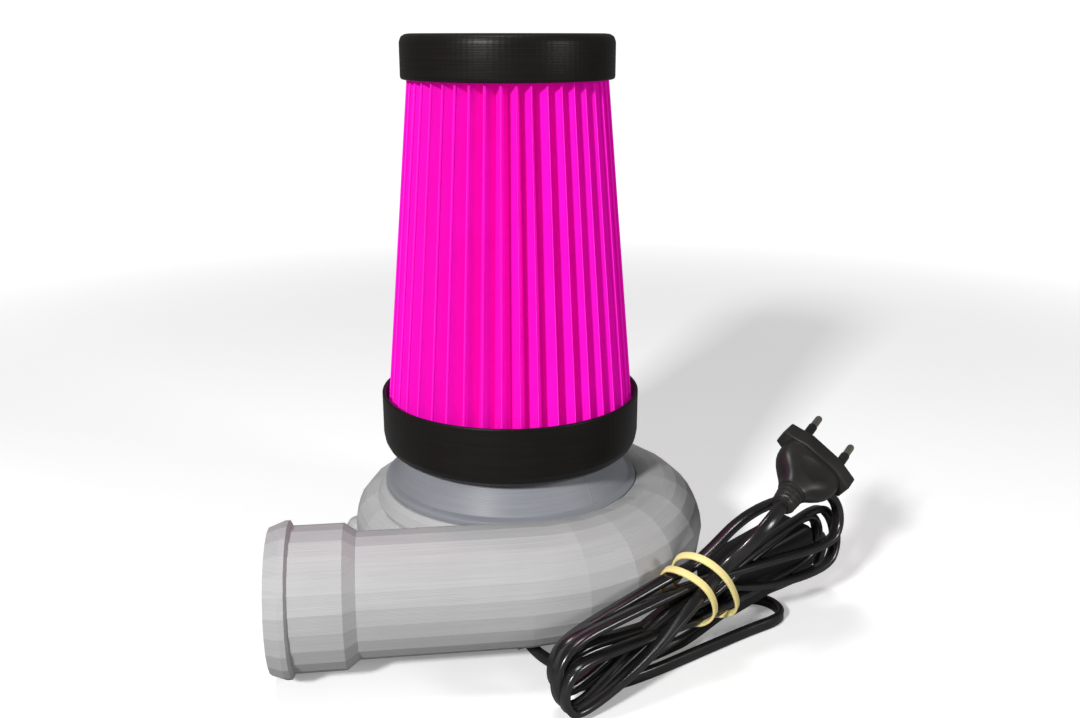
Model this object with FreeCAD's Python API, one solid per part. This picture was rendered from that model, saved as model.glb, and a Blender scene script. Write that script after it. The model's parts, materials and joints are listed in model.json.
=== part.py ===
import FreeCAD, Part

import math
import os

# A bench solder fume extractor. A centrifugal fan in a snail-shaped casing draws air
# down through a pleated cone filter and blows it out of a round socket for a drain pipe.
# Millimetres. The fan's axis is Z, the standing surface is z = 0, and the outlet points to -X.

V = FreeCAD.Vector

# ---- Driving dimensions -------------------------------------------------------------

# Heights of the stack, from the floor up.
BASE_TOP_Z = 6.0
CHAMBER_FLOOR_Z = 16.4
CASING_TOP_Z = 54.6
NECK_TOP_Z = 70.8
RING_TOP_Z = 98.3
PLEAT_BOTTOM_Z = 88.0
PLEAT_TOP_Z = 245.0
CAP_BOTTOM_Z = 232.7
CAP_TOP_Z = 250.9

# The snail: (angle along the flow from the front, section radius, centre radius, height).
# The flow runs clockwise seen from above and leaves along a tangent.
OUTLET_TURN = 7.3
VOLUTE = [(0, 12.0, 52.0, 32.8), (30, 13.2, 53.6, 33.4), (60, 14.4, 55.3, 34.1),
          (90, 15.5, 57.0, 34.8), (120, 16.9, 58.3, 34.7), (150, 18.2, 59.6, 34.5),
          (180, 19.5, 60.8, 34.3), (210, 20.9, 62.0, 34.1), (240, 22.2, 63.3, 34.0),
          (270, 23.5, 64.5, 33.8), (300, 24.3, 64.2, 33.2), (330, 25.1, 63.8, 32.6),
          (360 - OUTLET_TURN, 25.7, 63.3, 32.1)]
WALL = 2.4
DRUM_R = 58.0
CHAMBER_R = 54.0
POD_R = 36.0
LUG_PLACE = V(-75.8, 20.3, 0)
LUG_R = 6.0
LUG_TOP_Z = 23.5

# The outlet socket.
OUTLET_Z = 32.1
BEAD_EDGE = V(-87.0, -75.0, OUTLET_Z)
OUTLET_AXIS = V(-math.cos(math.radians(OUTLET_TURN)), -math.sin(math.radians(OUTLET_TURN)), 0)
BEAD_R = 31.6
BEAD_LENGTH = 8.0
SOCKET_R = 29.4
SOCKET_LENGTH = 21.7
SOCKET_CONE = 5.0
TUBE_R = VOLUTE[-1][1]
TUBE_LENGTH = 96.0
SOCKET_BORE_R = 25.4
SOCKET_BORE_DEPTH = 24.0

# The base, the motor and the fan.
BASE_R = 55.0
BASE_SCREW_CIRCLE = 46.0
SCREW_R = 1.5
MOTOR_R = 18.0
MOTOR_BOTTOM_Z = 12.0
MOTOR_TOP_Z = 57.0
CRADLE_R = 20.1
SHAFT_R = 1.585
RUNNING_GAP = 0.025
FAN_R = 46.0
FAN_FLOOR_Z = 17.6
BLADE_TOP_Z = 47.0
HUB_R = 23.4
HUB_TOP_Z = 64.4
GRUB_Z = 66.3
BLADE_COUNT = 9

# The filter.
RING_R = 57.5
RING_BORE_R = 55.8
SPIGOT_R = 40.0
COLLAR_R = 42.3
PLEAT_COUNT = 43
PLEAT_FIRST_ANGLE = -92.5
PLEAT_TIP_BOTTOM_R = 55.5
PLEAT_TIP_TOP_R = 41.3
PLEAT_DEPTH = 9.0
PAPER = 0.9
CAP_R = 44.9
CAP_BORE_R = 43.2

# The mains cord, its hank, the switch and the plug.
CORD_R = 2.8
CORD_ROUTE = [V(8.2, -59.6, CORD_R), V(11.5, -66.9, CORD_R), V(16.8, -73.5, CORD_R),
              V(24.4, -81.4, CORD_R), V(30.5, -90.0, CORD_R)]
HANK_ORIGIN = V(28.9, -103.3, 0)
HANK_HEADING = 35.3
HANK_HALF = 10.0
HANK_OUTLINE = [(-14, 14), (-9, 26), (4, 33.5), (25, 36.5), (44, 42), (60, 51), (72, 60),
                (88, 63), (100, 60), (116, 52), (134, 43), (140, 31), (133, 17), (117, 6),
                (98, 1.6), (60, 1.0), (10, 1.0), (-8, 4)]
HANK_SPLIT = 72.0
BAND_PLACE = 56.0
SWITCH_LENGTH = 56.0
SWITCH_HEIGHT = 24.0
SWITCH_DEPTH = 18.0
SWITCH_CENTRE = (104.5, 9.4, 27.2)
SWITCH_TILT = 9.0
ROCKER_TILT = 11.0
PLUG_FACE = V(134.4, -28.3, 75.6)
PLUG_AXIS = V(0.568, 0.774, 0.277)
PLUG_WIDE = V(0.715, -0.311, -0.598)
FLANGE_LENGTH = 35.3
FLANGE_WIDTH = 13.7
FLANGE_DEPTH = 7.5
FLANGE_CORNER = 7.6
FLANGE_END = 3.6
PIN_PITCH = 18.6
PIN_LENGTH = 19.0
TAIL_ROUTE = [V(113.4, -56.9, 65.4), V(109.0, -62.9, 63.3), V(103.0, -68.3, 59.0),
              V(96.0, -70.9, 52.0), V(89.0, -69.6, 44.6)]

UP = V(0, 0, 1)


# ---- Small helpers ------------------------------------------------------------------

def save(name, shape):
    """Write one sub-part, and print its volume and the number of its solids."""
    if not shape.isValid() or not shape.Solids:
        raise ValueError(name + " is not a valid solid")
    shape.exportStep("parts/" + name + ".step")
    print(name, len(shape.Solids), "solid(s)", round(shape.Volume / 1000, 2), "cm3")


def turned(profile, angle=360.0):
    """Revolve a closed (radius, height) outline about the fan's axis."""
    points = [V(r, 0, z) for r, z in profile]
    wire = Part.makePolygon(points + [points[0]])
    return Part.Face(wire).revolve(V(0, 0, 0), UP, angle)


def cylinder(radius, low, high, x=0.0, y=0.0):
    """A vertical round bar between two heights."""
    return Part.makeCylinder(radius, high - low, V(x, y, low), UP)


def ring(outer, inner, low, high):
    """A vertical tube between two heights."""
    return cylinder(outer, low, high).cut(cylinder(inner, low - 1, high + 1))


def block(size_x, size_y, low, high, x=0.0, y=0.0):
    """A box centred on x, y between two heights."""
    return Part.makeBox(size_x, size_y, high - low, V(x - size_x / 2, y - size_y / 2, low))


def polar(radius, degrees, z=0.0):
    """A point at a radius and an angle from +X."""
    angle = math.radians(degrees)
    return V(radius * math.cos(angle), radius * math.sin(angle), z)


def around(shape, count, first=0.0):
    """Copies of a shape spread evenly about the fan's axis."""
    copies = []
    for index in range(count):
        copy = shape.copy()
        copy.rotate(V(0, 0, 0), UP, first + index * 360.0 / count)
        copies.append(copy)
    return copies


def group(solids):
    """Several separate solids as one node."""
    return Part.makeCompound(solids)


def local_place(origin, x_axis, y_axis, z_axis):
    """The placement of a local frame given by its three unit axes."""
    rows = [(x_axis.x, y_axis.x, z_axis.x, origin.x),
            (x_axis.y, y_axis.y, z_axis.y, origin.y),
            (x_axis.z, y_axis.z, z_axis.z, origin.z), (0, 0, 0, 1)]
    values = [value for row in rows for value in row]
    return FreeCAD.Placement(FreeCAD.Matrix(*values))


def tube(name, route, radius):
    """A round cord along straight runs joined by tangent arcs, with its radii printed."""
    edges = []
    start = route[0]
    length = 0.0
    for before, corner, after in zip(route, route[1:], route[2:]):
        run_in = (corner - before).Length
        run_out = (after - corner).Length
        way_in = (corner - before).normalize()
        way_out = (after - corner).normalize()
        half_turn = way_in.getAngle(way_out) / 2
        reach = 0.45 * min(run_in, run_out)
        arc_radius = reach / math.tan(half_turn)
        arc_start = corner - way_in * reach
        arc_end = corner + way_out * reach
        middle = corner + (way_out - way_in).normalize() * (
            arc_radius / math.cos(half_turn) - arc_radius)
        edges.append(Part.LineSegment(start, arc_start).toShape())
        edges.append(Part.Arc(arc_start, middle, arc_end).toShape())
        length += (arc_start - start).Length + arc_radius * 2 * half_turn
        print(name, "arc radius", round(arc_radius, 1))
        start = arc_end
    edges.append(Part.LineSegment(start, route[-1]).toShape())
    length += (route[-1] - start).Length
    path = Part.Wire(edges)
    section = Part.Wire(Part.makeCircle(radius, route[0], route[1] - route[0]))
    solid = path.makePipeShell([section], True, True)
    print(name, "length", round(length, 1), "volume", round(solid.Volume, 1),
          "section x length", round(math.pi * radius ** 2 * length, 1))
    return solid


# ---- The casing, the neck and the base ----------------------------------------------

def volute_solid(inset):
    """The snail and its outlet tube, with every section smaller by the inset."""
    wires = []
    for flow_angle, radius, centre_r, height in VOLUTE:
        centre = polar(centre_r, 270 - flow_angle, height)
        direction = polar(1.0, 180 - flow_angle)
        wires.append(Part.Wire(Part.makeCircle(radius - inset, centre, direction)))
    snail = Part.makeLoft(wires, True, False)
    flow_angle, radius, centre_r, height = VOLUTE[-1]
    start = polar(centre_r, 270 - flow_angle, height)
    tube_length = (BEAD_EDGE - start).Length - 10.0
    straight = Part.makeCylinder(radius - inset, tube_length, start, OUTLET_AXIS)
    return snail.fuse(straight)


def socket_solid():
    """The outlet's outer form: a cone, the socket and the bead at its mouth."""
    inner_edge = BEAD_EDGE - OUTLET_AXIS * SOCKET_LENGTH
    cone_start = inner_edge - OUTLET_AXIS * SOCKET_CONE
    cone = Part.makeCone(TUBE_R, SOCKET_R, SOCKET_CONE, cone_start, OUTLET_AXIS)
    sleeve = Part.makeCylinder(SOCKET_R, SOCKET_LENGTH, inner_edge, OUTLET_AXIS)
    bead = Part.makeCone(BEAD_R, SOCKET_R - 0.1, BEAD_LENGTH, BEAD_EDGE, OUTLET_AXIS)
    return cone.fuse([sleeve, bead])


def foot_lug():
    """The rounded lug low on the casing's left side."""
    x, y = LUG_PLACE.x, LUG_PLACE.y
    dome = Part.makeSphere(LUG_R, V(x, y, LUG_TOP_Z - LUG_R))
    post = cylinder(LUG_R, 12.0, LUG_TOP_Z - LUG_R, x, y)
    web = Part.makeBox(16.0, 6.0, 8.0, V(x, y - 3.0, 14.0))
    return post.fuse([dome, web])


def base_screw_spots():
    """Where the base's screws stand."""
    return [polar(BASE_SCREW_CIRCLE, angle) for angle in (45, 135, 225, 315)]


def scroll_casing():
    """The snail casing in one piece, open at the top for the neck and below for the pod."""
    drum = turned([(0, BASE_TOP_Z), (BASE_R, BASE_TOP_Z), (DRUM_R, 30), (DRUM_R + 4.5, 48.0),
                   (DRUM_R + 0.2, CASING_TOP_Z), (0, CASING_TOP_Z)])
    outer = volute_solid(0).fuse([drum, socket_solid(), foot_lug()])
    chamber = cylinder(CHAMBER_R, CHAMBER_FLOOR_Z, CASING_TOP_Z + 5)
    pod = cylinder(POD_R, BASE_TOP_Z - 5, CHAMBER_FLOOR_Z - WALL)
    cradle_hole = cylinder(CRADLE_R + 0.3, BASE_TOP_Z, CHAMBER_FLOOR_Z + 1)
    mouth = BEAD_EDGE + OUTLET_AXIS * BEAD_LENGTH
    bore = Part.makeCylinder(SOCKET_BORE_R, SOCKET_BORE_DEPTH + 5, mouth + OUTLET_AXIS * 5,
                             OUTLET_AXIS * -1)
    throat = Part.makeCylinder(TUBE_R - WALL, 45, mouth, OUTLET_AXIS * -1)
    pilots = [cylinder(SCREW_R, BASE_TOP_Z - 1, 14.0, spot.x, spot.y)
              for spot in base_screw_spots()]
    neck_seat = cylinder(RING_R + 0.3, CASING_TOP_Z, CASING_TOP_Z + 5)
    return outer.cut([volute_solid(WALL), chamber, pod, cradle_hole, bore, throat, neck_seat]
                     + pilots)


def inlet_neck():
    """The lid with its cone and the spigot that the filter pushes onto."""
    return turned([(51.3, 52.6), (CHAMBER_R - 0.3, 52.6), (CHAMBER_R - 0.3, CASING_TOP_Z),
                   (RING_R, CASING_TOP_Z), (RING_R, 57.0), (54.0, 57.8), (47.0, NECK_TOP_Z),
                   (SPIGOT_R, NECK_TOP_Z), (SPIGOT_R, 81.0), (SPIGOT_R - 1, 82.0),
                   (37.6, 82.0), (37.6, 68.6), (44.6, 68.6), (51.3, 56.5)])


def inlet_bellmouth():
    """The funnel under the neck that leads the air into the fan's eye."""
    return turned([(30.8, 52.6), (51.0, 52.6), (51.0, 54.4), (33.0, 54.4), (37.3, 67.0),
                   (37.3, 68.6), (35.2, 68.6), (35.2, 67.4), (30.8, 54.6)])


def base_plate():
    """The shallow tray under the fan, with a notch for the cord's gland."""
    tray = turned([(0, 0), (BASE_R - 1, 0), (BASE_R, 1.0), (BASE_R, BASE_TOP_Z),
                   (BASE_R - WALL, BASE_TOP_Z), (BASE_R - WALL, WALL), (0, WALL)])
    posts = [cylinder(4.2, 1.0, BASE_TOP_Z, spot.x, spot.y) for spot in base_screw_spots()]
    holes = [cylinder(SCREW_R + 0.2, -1, BASE_TOP_Z + 1, spot.x, spot.y)
             .fuse(cylinder(3.1, -1, 2.8, spot.x, spot.y)) for spot in base_screw_spots()]
    return tray.fuse(posts).cut(holes + [gland_form(0.0)])


def gland_form(slack):
    """The gland's body, set square to the cord's first run."""
    exit_point = CORD_ROUTE[0]
    heading = (CORD_ROUTE[1] - exit_point).normalize()
    across = V(-heading.y, heading.x, 0)
    place = local_place(V(exit_point.x, exit_point.y, 0), heading, across, UP)
    body = Part.makeBox(14.0, 9.0 + slack, 5.8, V(-14.0, -4.5 - slack / 2, 0.1))
    body.Placement = place
    return body


def cord_gland():
    """The gland that grips the cord where it enters the base."""
    inner_end = CORD_ROUTE[0] - (CORD_ROUTE[1] - CORD_ROUTE[0]).normalize() * 11.0
    heading = (CORD_ROUTE[1] - CORD_ROUTE[0]).normalize()
    socket = Part.makeCylinder(1.0, 12, inner_end, heading * -1)
    return gland_form(0.0).cut(socket)


def base_screws():
    """Screws from below through the base into the casing."""
    screws = []
    for spot in base_screw_spots():
        head = cylinder(2.9, 0.6, 2.8, spot.x, spot.y)
        recess = cylinder(1.1, 0.0, 1.6, spot.x, spot.y)
        screws.append(head.fuse(cylinder(SCREW_R, 2.8, 13.9, spot.x, spot.y)).cut(recess))
    return group(screws)


# ---- The motor and its supply --------------------------------------------------------

def motor_cradle():
    """The flanged sleeve that holds the motor upright inside the fan's hub."""
    return turned([(MOTOR_R + 0.02, 8.4), (MOTOR_R + 0.02, 46.0), (CRADLE_R, 46.0),
                   (CRADLE_R, 8.4), (22.5, 8.4), (22.5, BASE_TOP_Z), (17.0, BASE_TOP_Z),
                   (17.0, 8.4)])


def cradle_feet():
    """Spacer posts that stand the cradle on the base's floor."""
    return group([cylinder(1.8, WALL, BASE_TOP_Z, p.x, p.y)
                  for p in (polar(19.8, angle) for angle in (30, 150, 270))])


def motor_can():
    """The drawn steel can, closed at the shaft's end."""
    can = turned([(16.5, MOTOR_BOTTOM_Z), (MOTOR_R, MOTOR_BOTTOM_Z), (MOTOR_R, 56.0),
                  (MOTOR_R - 1, MOTOR_TOP_Z), (3.2, MOTOR_TOP_Z), (3.2, 55.6), (16.5, 55.6)])
    vents = around(block(5, 3, 50, 60, 11), 4, 45)
    return can.cut(vents)


def motor_magnets():
    """Two curved magnets inside the can."""
    tube_shape = ring(16.4, 13.2, 22.0, 50.0)
    gaps = block(40, 9, 20, 52)
    return group(tube_shape.cut(gaps).Solids)


def motor_end_bell():
    """The moulded cover at the motor's lower end, with room for the bush."""
    return turned([(3.2, 9.0), (16.9, 9.0), (16.9, 11.0), (16.4, 11.4), (16.4, 14.0),
                   (14.4, 14.0), (14.4, 11.0), (5.0, 11.0), (5.0, 12.6), (3.2, 12.6)])


def bush(low, high):
    """A sintered bush that the shaft runs in."""
    return ring(3.2, SHAFT_R + RUNNING_GAP, low, high)


def brushes():
    """The two carbon brushes beside the commutator."""
    return group([block(6.0, 3.2, 14.6, 18.6, side * 8.0) for side in (-1, 1)])


def brush_holders():
    """The brass tubes that guide the brushes."""
    holders = []
    for side in (-1, 1):
        outer = block(7.0, 4.6, 14.0, 19.4, side * 9.4)
        holders.append(outer.cut(block(12.0, 3.4, 14.5, 18.8, side * 8.0)))
    return group(holders)


def rectifier_board():
    """The small circuit board that feeds the motor with direct current."""
    board = block(9.0, 22.0, 5.0, 6.6, 28.5)
    return board.cut([cylinder(1.0, 4, 8, 28.5, y) for y in (-9.0, 9.0)])


def bridge_rectifier():
    """The rectifier's moulded block with four legs through the board."""
    body = block(4.0, 9.0, 6.6, 12.0, 28.5)
    return body.makeChamfer(0.5, [edge for edge in body.Edges if edge.BoundBox.ZMin > 11.9])


def board_posts():
    """The posts under the circuit board."""
    return group([cylinder(2.0, WALL, 5.0, 28.5, y) for y in (-9.0, 9.0)])


def terminal_block():
    """The two-way terminal where the cord's wires end."""
    body = block(12.0, 8.0, WALL, 9.0, 3.0, -33.0 + 4)
    wells = [cylinder(1.6, 6.0, 10.0, x, -29.0) for x in (0.2, 5.8)]
    return body.cut(wells)


def terminal_screws():
    """The clamping screws in the terminal block."""
    return group([cylinder(1.5, 6.0, 8.2, x, -29.0)
                  .cut(block(4, 0.5, 7.7, 9, x, -29.0)) for x in (0.2, 5.8)])


# ---- The rotor -----------------------------------------------------------------------

def motor_shaft():
    """The steel shaft with rounded ends."""
    shaft = cylinder(SHAFT_R, 9.6, 69.5)
    return shaft.makeChamfer(0.4, [shaft.Edges[0], shaft.Edges[2]])


def armature_core():
    """The slotted stack of laminations on the shaft."""
    core = ring(12.6, SHAFT_R, 24.0, 48.0)
    slots = around(block(8.0, 1.8, 23, 49, 10.0), 5)
    pockets = around(cylinder(2.6, 23, 49, 7.8, 0), 5)
    return core.cut(slots + pockets)


def armature_windings():
    """The copper end turns above and below the stack."""
    return group([ring(10.8, 3.4, 20.6, 23.9), ring(10.8, 3.4, 48.1, 51.4)])


def commutator():
    """The copper commutator on its sleeve."""
    body = ring(4.8, SHAFT_R, 14.2, 19.6)
    return body.cut(around(block(2.0, 0.4, 13, 20, 4.4), 5))


def impeller():
    """The closed fan wheel: floor, hub, backward blades and shroud in one piece."""
    floor = ring(FAN_R, HUB_R - 2.0, FAN_FLOOR_Z, FAN_FLOOR_Z + 1.8)
    hub = turned([(HUB_R - 2, FAN_FLOOR_Z), (HUB_R, FAN_FLOOR_Z), (HUB_R, HUB_TOP_Z - 2.5),
                  (HUB_R - 2.5, HUB_TOP_Z), (4.0, HUB_TOP_Z), (4.0, 61.8), (HUB_R - 2, 61.8)])
    boss = ring(8.0, 4.0, 59.6, 68.4)
    shroud = turned([(30.5, BLADE_TOP_Z), (FAN_R, BLADE_TOP_Z), (FAN_R, BLADE_TOP_Z + 1.6),
                     (31.6, BLADE_TOP_Z + 1.6), (30.5, BLADE_TOP_Z + 3.0)])
    screw_hole = Part.makeCylinder(1.4, 8.0, V(2.0, 0, GRUB_Z), V(1, 0, 0))
    return floor.fuse([hub, boss, shroud] + around(blade(), BLADE_COUNT)).cut(screw_hole)


def blade():
    """One blade, curved back against the turning direction."""
    inner, outer = 25.5, FAN_R - 0.4
    thickness = 1.6
    start, end = polar(inner, 0), polar(outer, 38)
    middle = polar((inner + outer) / 2 + 2.0, 13)
    outer_arc = Part.Arc(start, middle, end).toShape()
    shift = polar(thickness, 160)
    inner_arc = Part.Arc(end + shift, middle + shift, start + shift).toShape()
    sides = [Part.LineSegment(end, end + shift).toShape(),
             Part.LineSegment(start + shift, start).toShape()]
    wire = Part.Wire([outer_arc, sides[0], inner_arc, sides[1]])
    solid = Part.Face(wire).extrude(V(0, 0, BLADE_TOP_Z + 0.4 - FAN_FLOOR_Z - 1.0))
    solid.translate(V(0, 0, FAN_FLOOR_Z + 1.0))
    return solid.common(cylinder(FAN_R - 0.05, 0, 100))


def hub_bush():
    """The brass bush between the fan and the shaft."""
    return ring(3.95, SHAFT_R, 59.4, 68.2)


def grub_screw():
    """The screw that locks the fan's hub on its bush."""
    screw = Part.makeCylinder(1.4, 3.6, V(4.1, 0, GRUB_Z), V(1, 0, 0))
    return screw.cut(Part.makeCylinder(0.7, 1.2, V(6.7, 0, GRUB_Z), V(1, 0, 0)))


# ---- The filter ----------------------------------------------------------------------

def filter_top_cap():
    """The shallow cap over the cone's narrow end."""
    cap = turned([(0, CAP_TOP_Z - 4.6), (CAP_BORE_R, CAP_TOP_Z - 4.6),
                  (CAP_BORE_R, CAP_BOTTOM_Z), (CAP_R - 1.0, CAP_BOTTOM_Z),
                  (CAP_R, CAP_BOTTOM_Z + 1.4), (CAP_R, CAP_TOP_Z), (0, CAP_TOP_Z)])
    top_edge = [edge for edge in cap.Edges
                if edge.BoundBox.ZMin > CAP_TOP_Z - 0.1 and edge.BoundBox.XMax > CAP_R - 0.1]
    return cap.makeFillet(3.2, top_edge)


def star(tip_r, height):
    """The pleats' outline at one height, as outer and inner closed wires."""
    step = 360.0 / PLEAT_COUNT
    wires = []
    for inset in (0.0, PAPER):
        points = []
        for index in range(PLEAT_COUNT):
            angle = PLEAT_FIRST_ANGLE + index * step
            points.append(polar(tip_r - 2.2 * inset, angle, height))
            points.append(polar(tip_r - PLEAT_DEPTH - 2.2 * inset, angle + step / 2, height))
        wires.append(Part.makePolygon(points + [points[0]]))
    return wires


def filter_pleats():
    """The pleated cone of filter paper, one folded wall of even thickness."""
    low = star(PLEAT_TIP_BOTTOM_R, PLEAT_BOTTOM_Z)
    high = star(PLEAT_TIP_TOP_R, PLEAT_TOP_Z)
    outer = Part.makeLoft([low[0], high[0]], True, True)
    inner = Part.makeLoft([low[1], high[1]], True, True)
    return outer.cut(inner)


def filter_core():
    """The open cage that keeps the pleats from folding in."""
    low_r, high_r = 43.0, 29.0
    low_z, high_z = PLEAT_BOTTOM_Z, PLEAT_TOP_Z
    slope = (low_r - high_r) / (high_z - low_z)
    rib = turned([(low_r - 1.6, low_z), (low_r, low_z), (high_r, high_z),
                  (high_r - 1.6, high_z)], 6.0)
    rings = []
    for height in (low_z, 118.0, 148.0, 178.0, 208.0, high_z - 3.0):
        radius = low_r - slope * (height - low_z)
        upper = radius - slope * 3.0
        rings.append(turned([(radius - 1.6, height), (radius, height), (upper, height + 3.0),
                             (upper - 1.6, height + 3.0)]))
    return rings[0].fuse(rings[1:] + around(rib, 10))


def filter_base_ring():
    """The cup at the cone's wide end, with a collar that fits over the neck."""
    cup = turned([(COLLAR_R, NECK_TOP_Z + 0.3), (RING_R - 7.0, NECK_TOP_Z + 0.3),
                  (RING_R - 2.6, NECK_TOP_Z + 2.0), (RING_R - 0.4, NECK_TOP_Z + 6.0),
                  (RING_R, NECK_TOP_Z + 10.0), (RING_R, RING_TOP_Z), (RING_BORE_R, RING_TOP_Z),
                  (RING_BORE_R, NECK_TOP_Z + 9.0), (RING_BORE_R - 3.0, NECK_TOP_Z + 4.0),
                  (COLLAR_R + 1.7, NECK_TOP_Z + 4.0), (COLLAR_R + 1.7, 86.0), (COLLAR_R, 86.0)])
    return cup


def filter_potting():
    """The cast ring that holds the pleats in the cup."""
    return turned([(COLLAR_R + 1.7, NECK_TOP_Z + 4.0), (RING_BORE_R - 3.0, NECK_TOP_Z + 4.0),
                   (RING_BORE_R, NECK_TOP_Z + 9.0), (RING_BORE_R, PLEAT_BOTTOM_Z),
                   (COLLAR_R - 1.0, PLEAT_BOTTOM_Z), (COLLAR_R - 1.0, 86.0),
                   (COLLAR_R + 1.7, 86.0)])


def filter_gasket():
    """The rubber sleeve that seals the collar on the spigot."""
    return ring(COLLAR_R, SPIGOT_R + 0.3, NECK_TOP_Z + 0.3, 85.0)


# ---- The cord and what is on it ------------------------------------------------------

def hank_axes():
    """The unit vectors along the hank and away from its front."""
    along = polar(1.0, HANK_HEADING)
    return along, V(-along.y, along.x, 0)


def hank_point(along, depth, height):
    """A point given by its distance along the hank, its depth and its height."""
    forward, back = hank_axes()
    return HANK_ORIGIN + forward * along + back * depth + V(0, 0, height)


def cord_hank():
    """The bundle's outer shape: an upright slab, thinner where the switch stands behind."""
    points = [hank_point(along, -HANK_HALF, height) for along, height in HANK_OUTLINE]
    curve = Part.BSplineCurve()
    curve.interpolate(Points=points, PeriodicFlag=True)
    face = Part.Face(Part.Wire(curve.toShape()))
    back = hank_axes()[1]
    full = face.extrude(back * (2 * HANK_HALF))
    front = face.extrude(back * (HANK_HALF - 0.3))
    keep = Part.makeBox(HANK_SPLIT + 40, 100, 120, V(-40, -50, -20))
    forward = hank_axes()[0]
    keep.Placement = local_place(HANK_ORIGIN, forward, back, UP)
    return full.common(keep).fuse(front)


def rubber_band():
    """The band round the bundle's upper part."""
    forward, back = hank_axes()
    outer = Part.makeBox(4.0, 23.0, 38.0, V(-2.0, -11.5, 13.5))
    inner = Part.makeBox(6.0, 20.2, 35.2, V(-3.0, -10.1, 14.9))
    band = outer.cut(inner)
    band.Placement = local_place(hank_point(BAND_PLACE, 0, 0), forward, back, UP)
    return band


def switch_place():
    """The switch's own frame: X along it, Y away from the front, Z across its height."""
    forward, back = hank_axes()
    tilt = math.radians(SWITCH_TILT)
    along = forward * math.cos(tilt) + UP * math.sin(tilt)
    upward = UP * math.cos(tilt) - forward * math.sin(tilt)
    return local_place(hank_point(*SWITCH_CENTRE), along, back, upward)


def switch_shell(low_y, high_y):
    """One half of the switch's housing, a rounded block hollow towards the other half."""
    body = Part.makeBox(SWITCH_LENGTH, high_y - low_y, SWITCH_HEIGHT,
                        V(-SWITCH_LENGTH / 2, low_y, -SWITCH_HEIGHT / 2))
    upright = [edge for edge in body.Edges if edge.BoundBox.YLength > (high_y - low_y) - 0.1]
    body = body.makeFillet(6.0, upright)
    inner_low = low_y + 2.0 if low_y < 0 else low_y - 1.0
    inner_high = high_y + 1.0 if low_y < 0 else high_y - 2.0
    hollow = Part.makeBox(SWITCH_LENGTH - 12, inner_high - inner_low, SWITCH_HEIGHT - 4,
                          V(6 - SWITCH_LENGTH / 2, inner_low, 2 - SWITCH_HEIGHT / 2))
    return body.cut(hollow)


def switch_front_shell():
    """The half of the housing that faces the bundle."""
    shape = switch_shell(-SWITCH_DEPTH / 2, -0.1)
    shape.Placement = switch_place()
    return shape


def switch_rear_shell():
    """The half of the housing with the rocker's window."""
    shape = switch_shell(0.0, SWITCH_DEPTH / 2)
    window = Part.makeBox(23.0, 10.0, 13.0, V(-11.5, 2.0, -6.5))
    shape = shape.cut(window)
    shape.Placement = switch_place()
    return shape


def switch_rocker():
    """The rocker, standing at its off position."""
    side = [V(-10.5, 8.0, 0), V(-10.0, 11.6, 0), V(0, 10.2, 0), V(10.0, 11.6, 0),
            V(10.5, 8.0, 0), V(0, 4.0, 0)]
    body = Part.Face(Part.makePolygon(side + [side[0]])).extrude(V(0, 0, 12.0))
    body.translate(V(0, 0, -6.0))
    body = body.cut(Part.makeCylinder(1.05, 20, V(0, 7.4, -10), UP))
    body.rotate(V(0, 7.4, 0), UP, ROCKER_TILT)
    body.Placement = switch_place().multiply(body.Placement)
    return body


def rocker_pin():
    """The pin that the rocker turns on."""
    pin = Part.makeCylinder(1.0, 13.0, V(0, 7.4, -6.5), UP)
    pin.Placement = switch_place()
    return pin


def switch_screws():
    """The two screws that close the switch's housing."""
    screws = []
    for side in (-1, 1):
        screw = Part.makeCylinder(2.0, 1.0, V(side * 24.0, SWITCH_DEPTH / 2, 0), V(0, 1, 0))
        screws.append(screw.cut(Part.makeBox(5, 1, 0.7, V(side * 24.0 - 2.5, 9.5, -0.35))))
    shape = group(screws)
    shape.Placement = switch_place()
    return shape


def plug_place():
    """The plug's frame: Z along its pins, X along the flange, at the flange's face."""
    z_axis = V(PLUG_AXIS).normalize()
    x_axis = (PLUG_WIDE - z_axis * PLUG_WIDE.dot(z_axis)).normalize()
    return local_place(PLUG_FACE, x_axis, z_axis.cross(x_axis), z_axis)


def oval_wire(length, width, height):
    """A rounded slot outline at one height in the plug's frame."""
    radius = width / 2
    reach = length / 2 - radius
    right = Part.Arc(V(reach, -radius, height), V(reach + radius, 0, height),
                     V(reach, radius, height)).toShape()
    left = Part.Arc(V(-reach, radius, height), V(-reach - radius, 0, height),
                    V(-reach, -radius, height)).toShape()
    top = Part.LineSegment(V(reach, radius, height), V(-reach, radius, height)).toShape()
    bottom = Part.LineSegment(V(-reach, -radius, height), V(reach, -radius, height)).toShape()
    return Part.Wire([right, top, left, bottom])


def flange_wire(height):
    """The flange's eight-cornered outline at one height in the plug's frame."""
    end, side = FLANGE_LENGTH / 2, FLANGE_WIDTH / 2
    corners = [V(end, FLANGE_END, height), V(FLANGE_CORNER, side, height),
               V(-FLANGE_CORNER, side, height), V(-end, FLANGE_END, height),
               V(-end, -FLANGE_END, height), V(-FLANGE_CORNER, -side, height),
               V(FLANGE_CORNER, -side, height), V(end, -FLANGE_END, height)]
    return Part.makePolygon(corners + [corners[0]])


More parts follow.
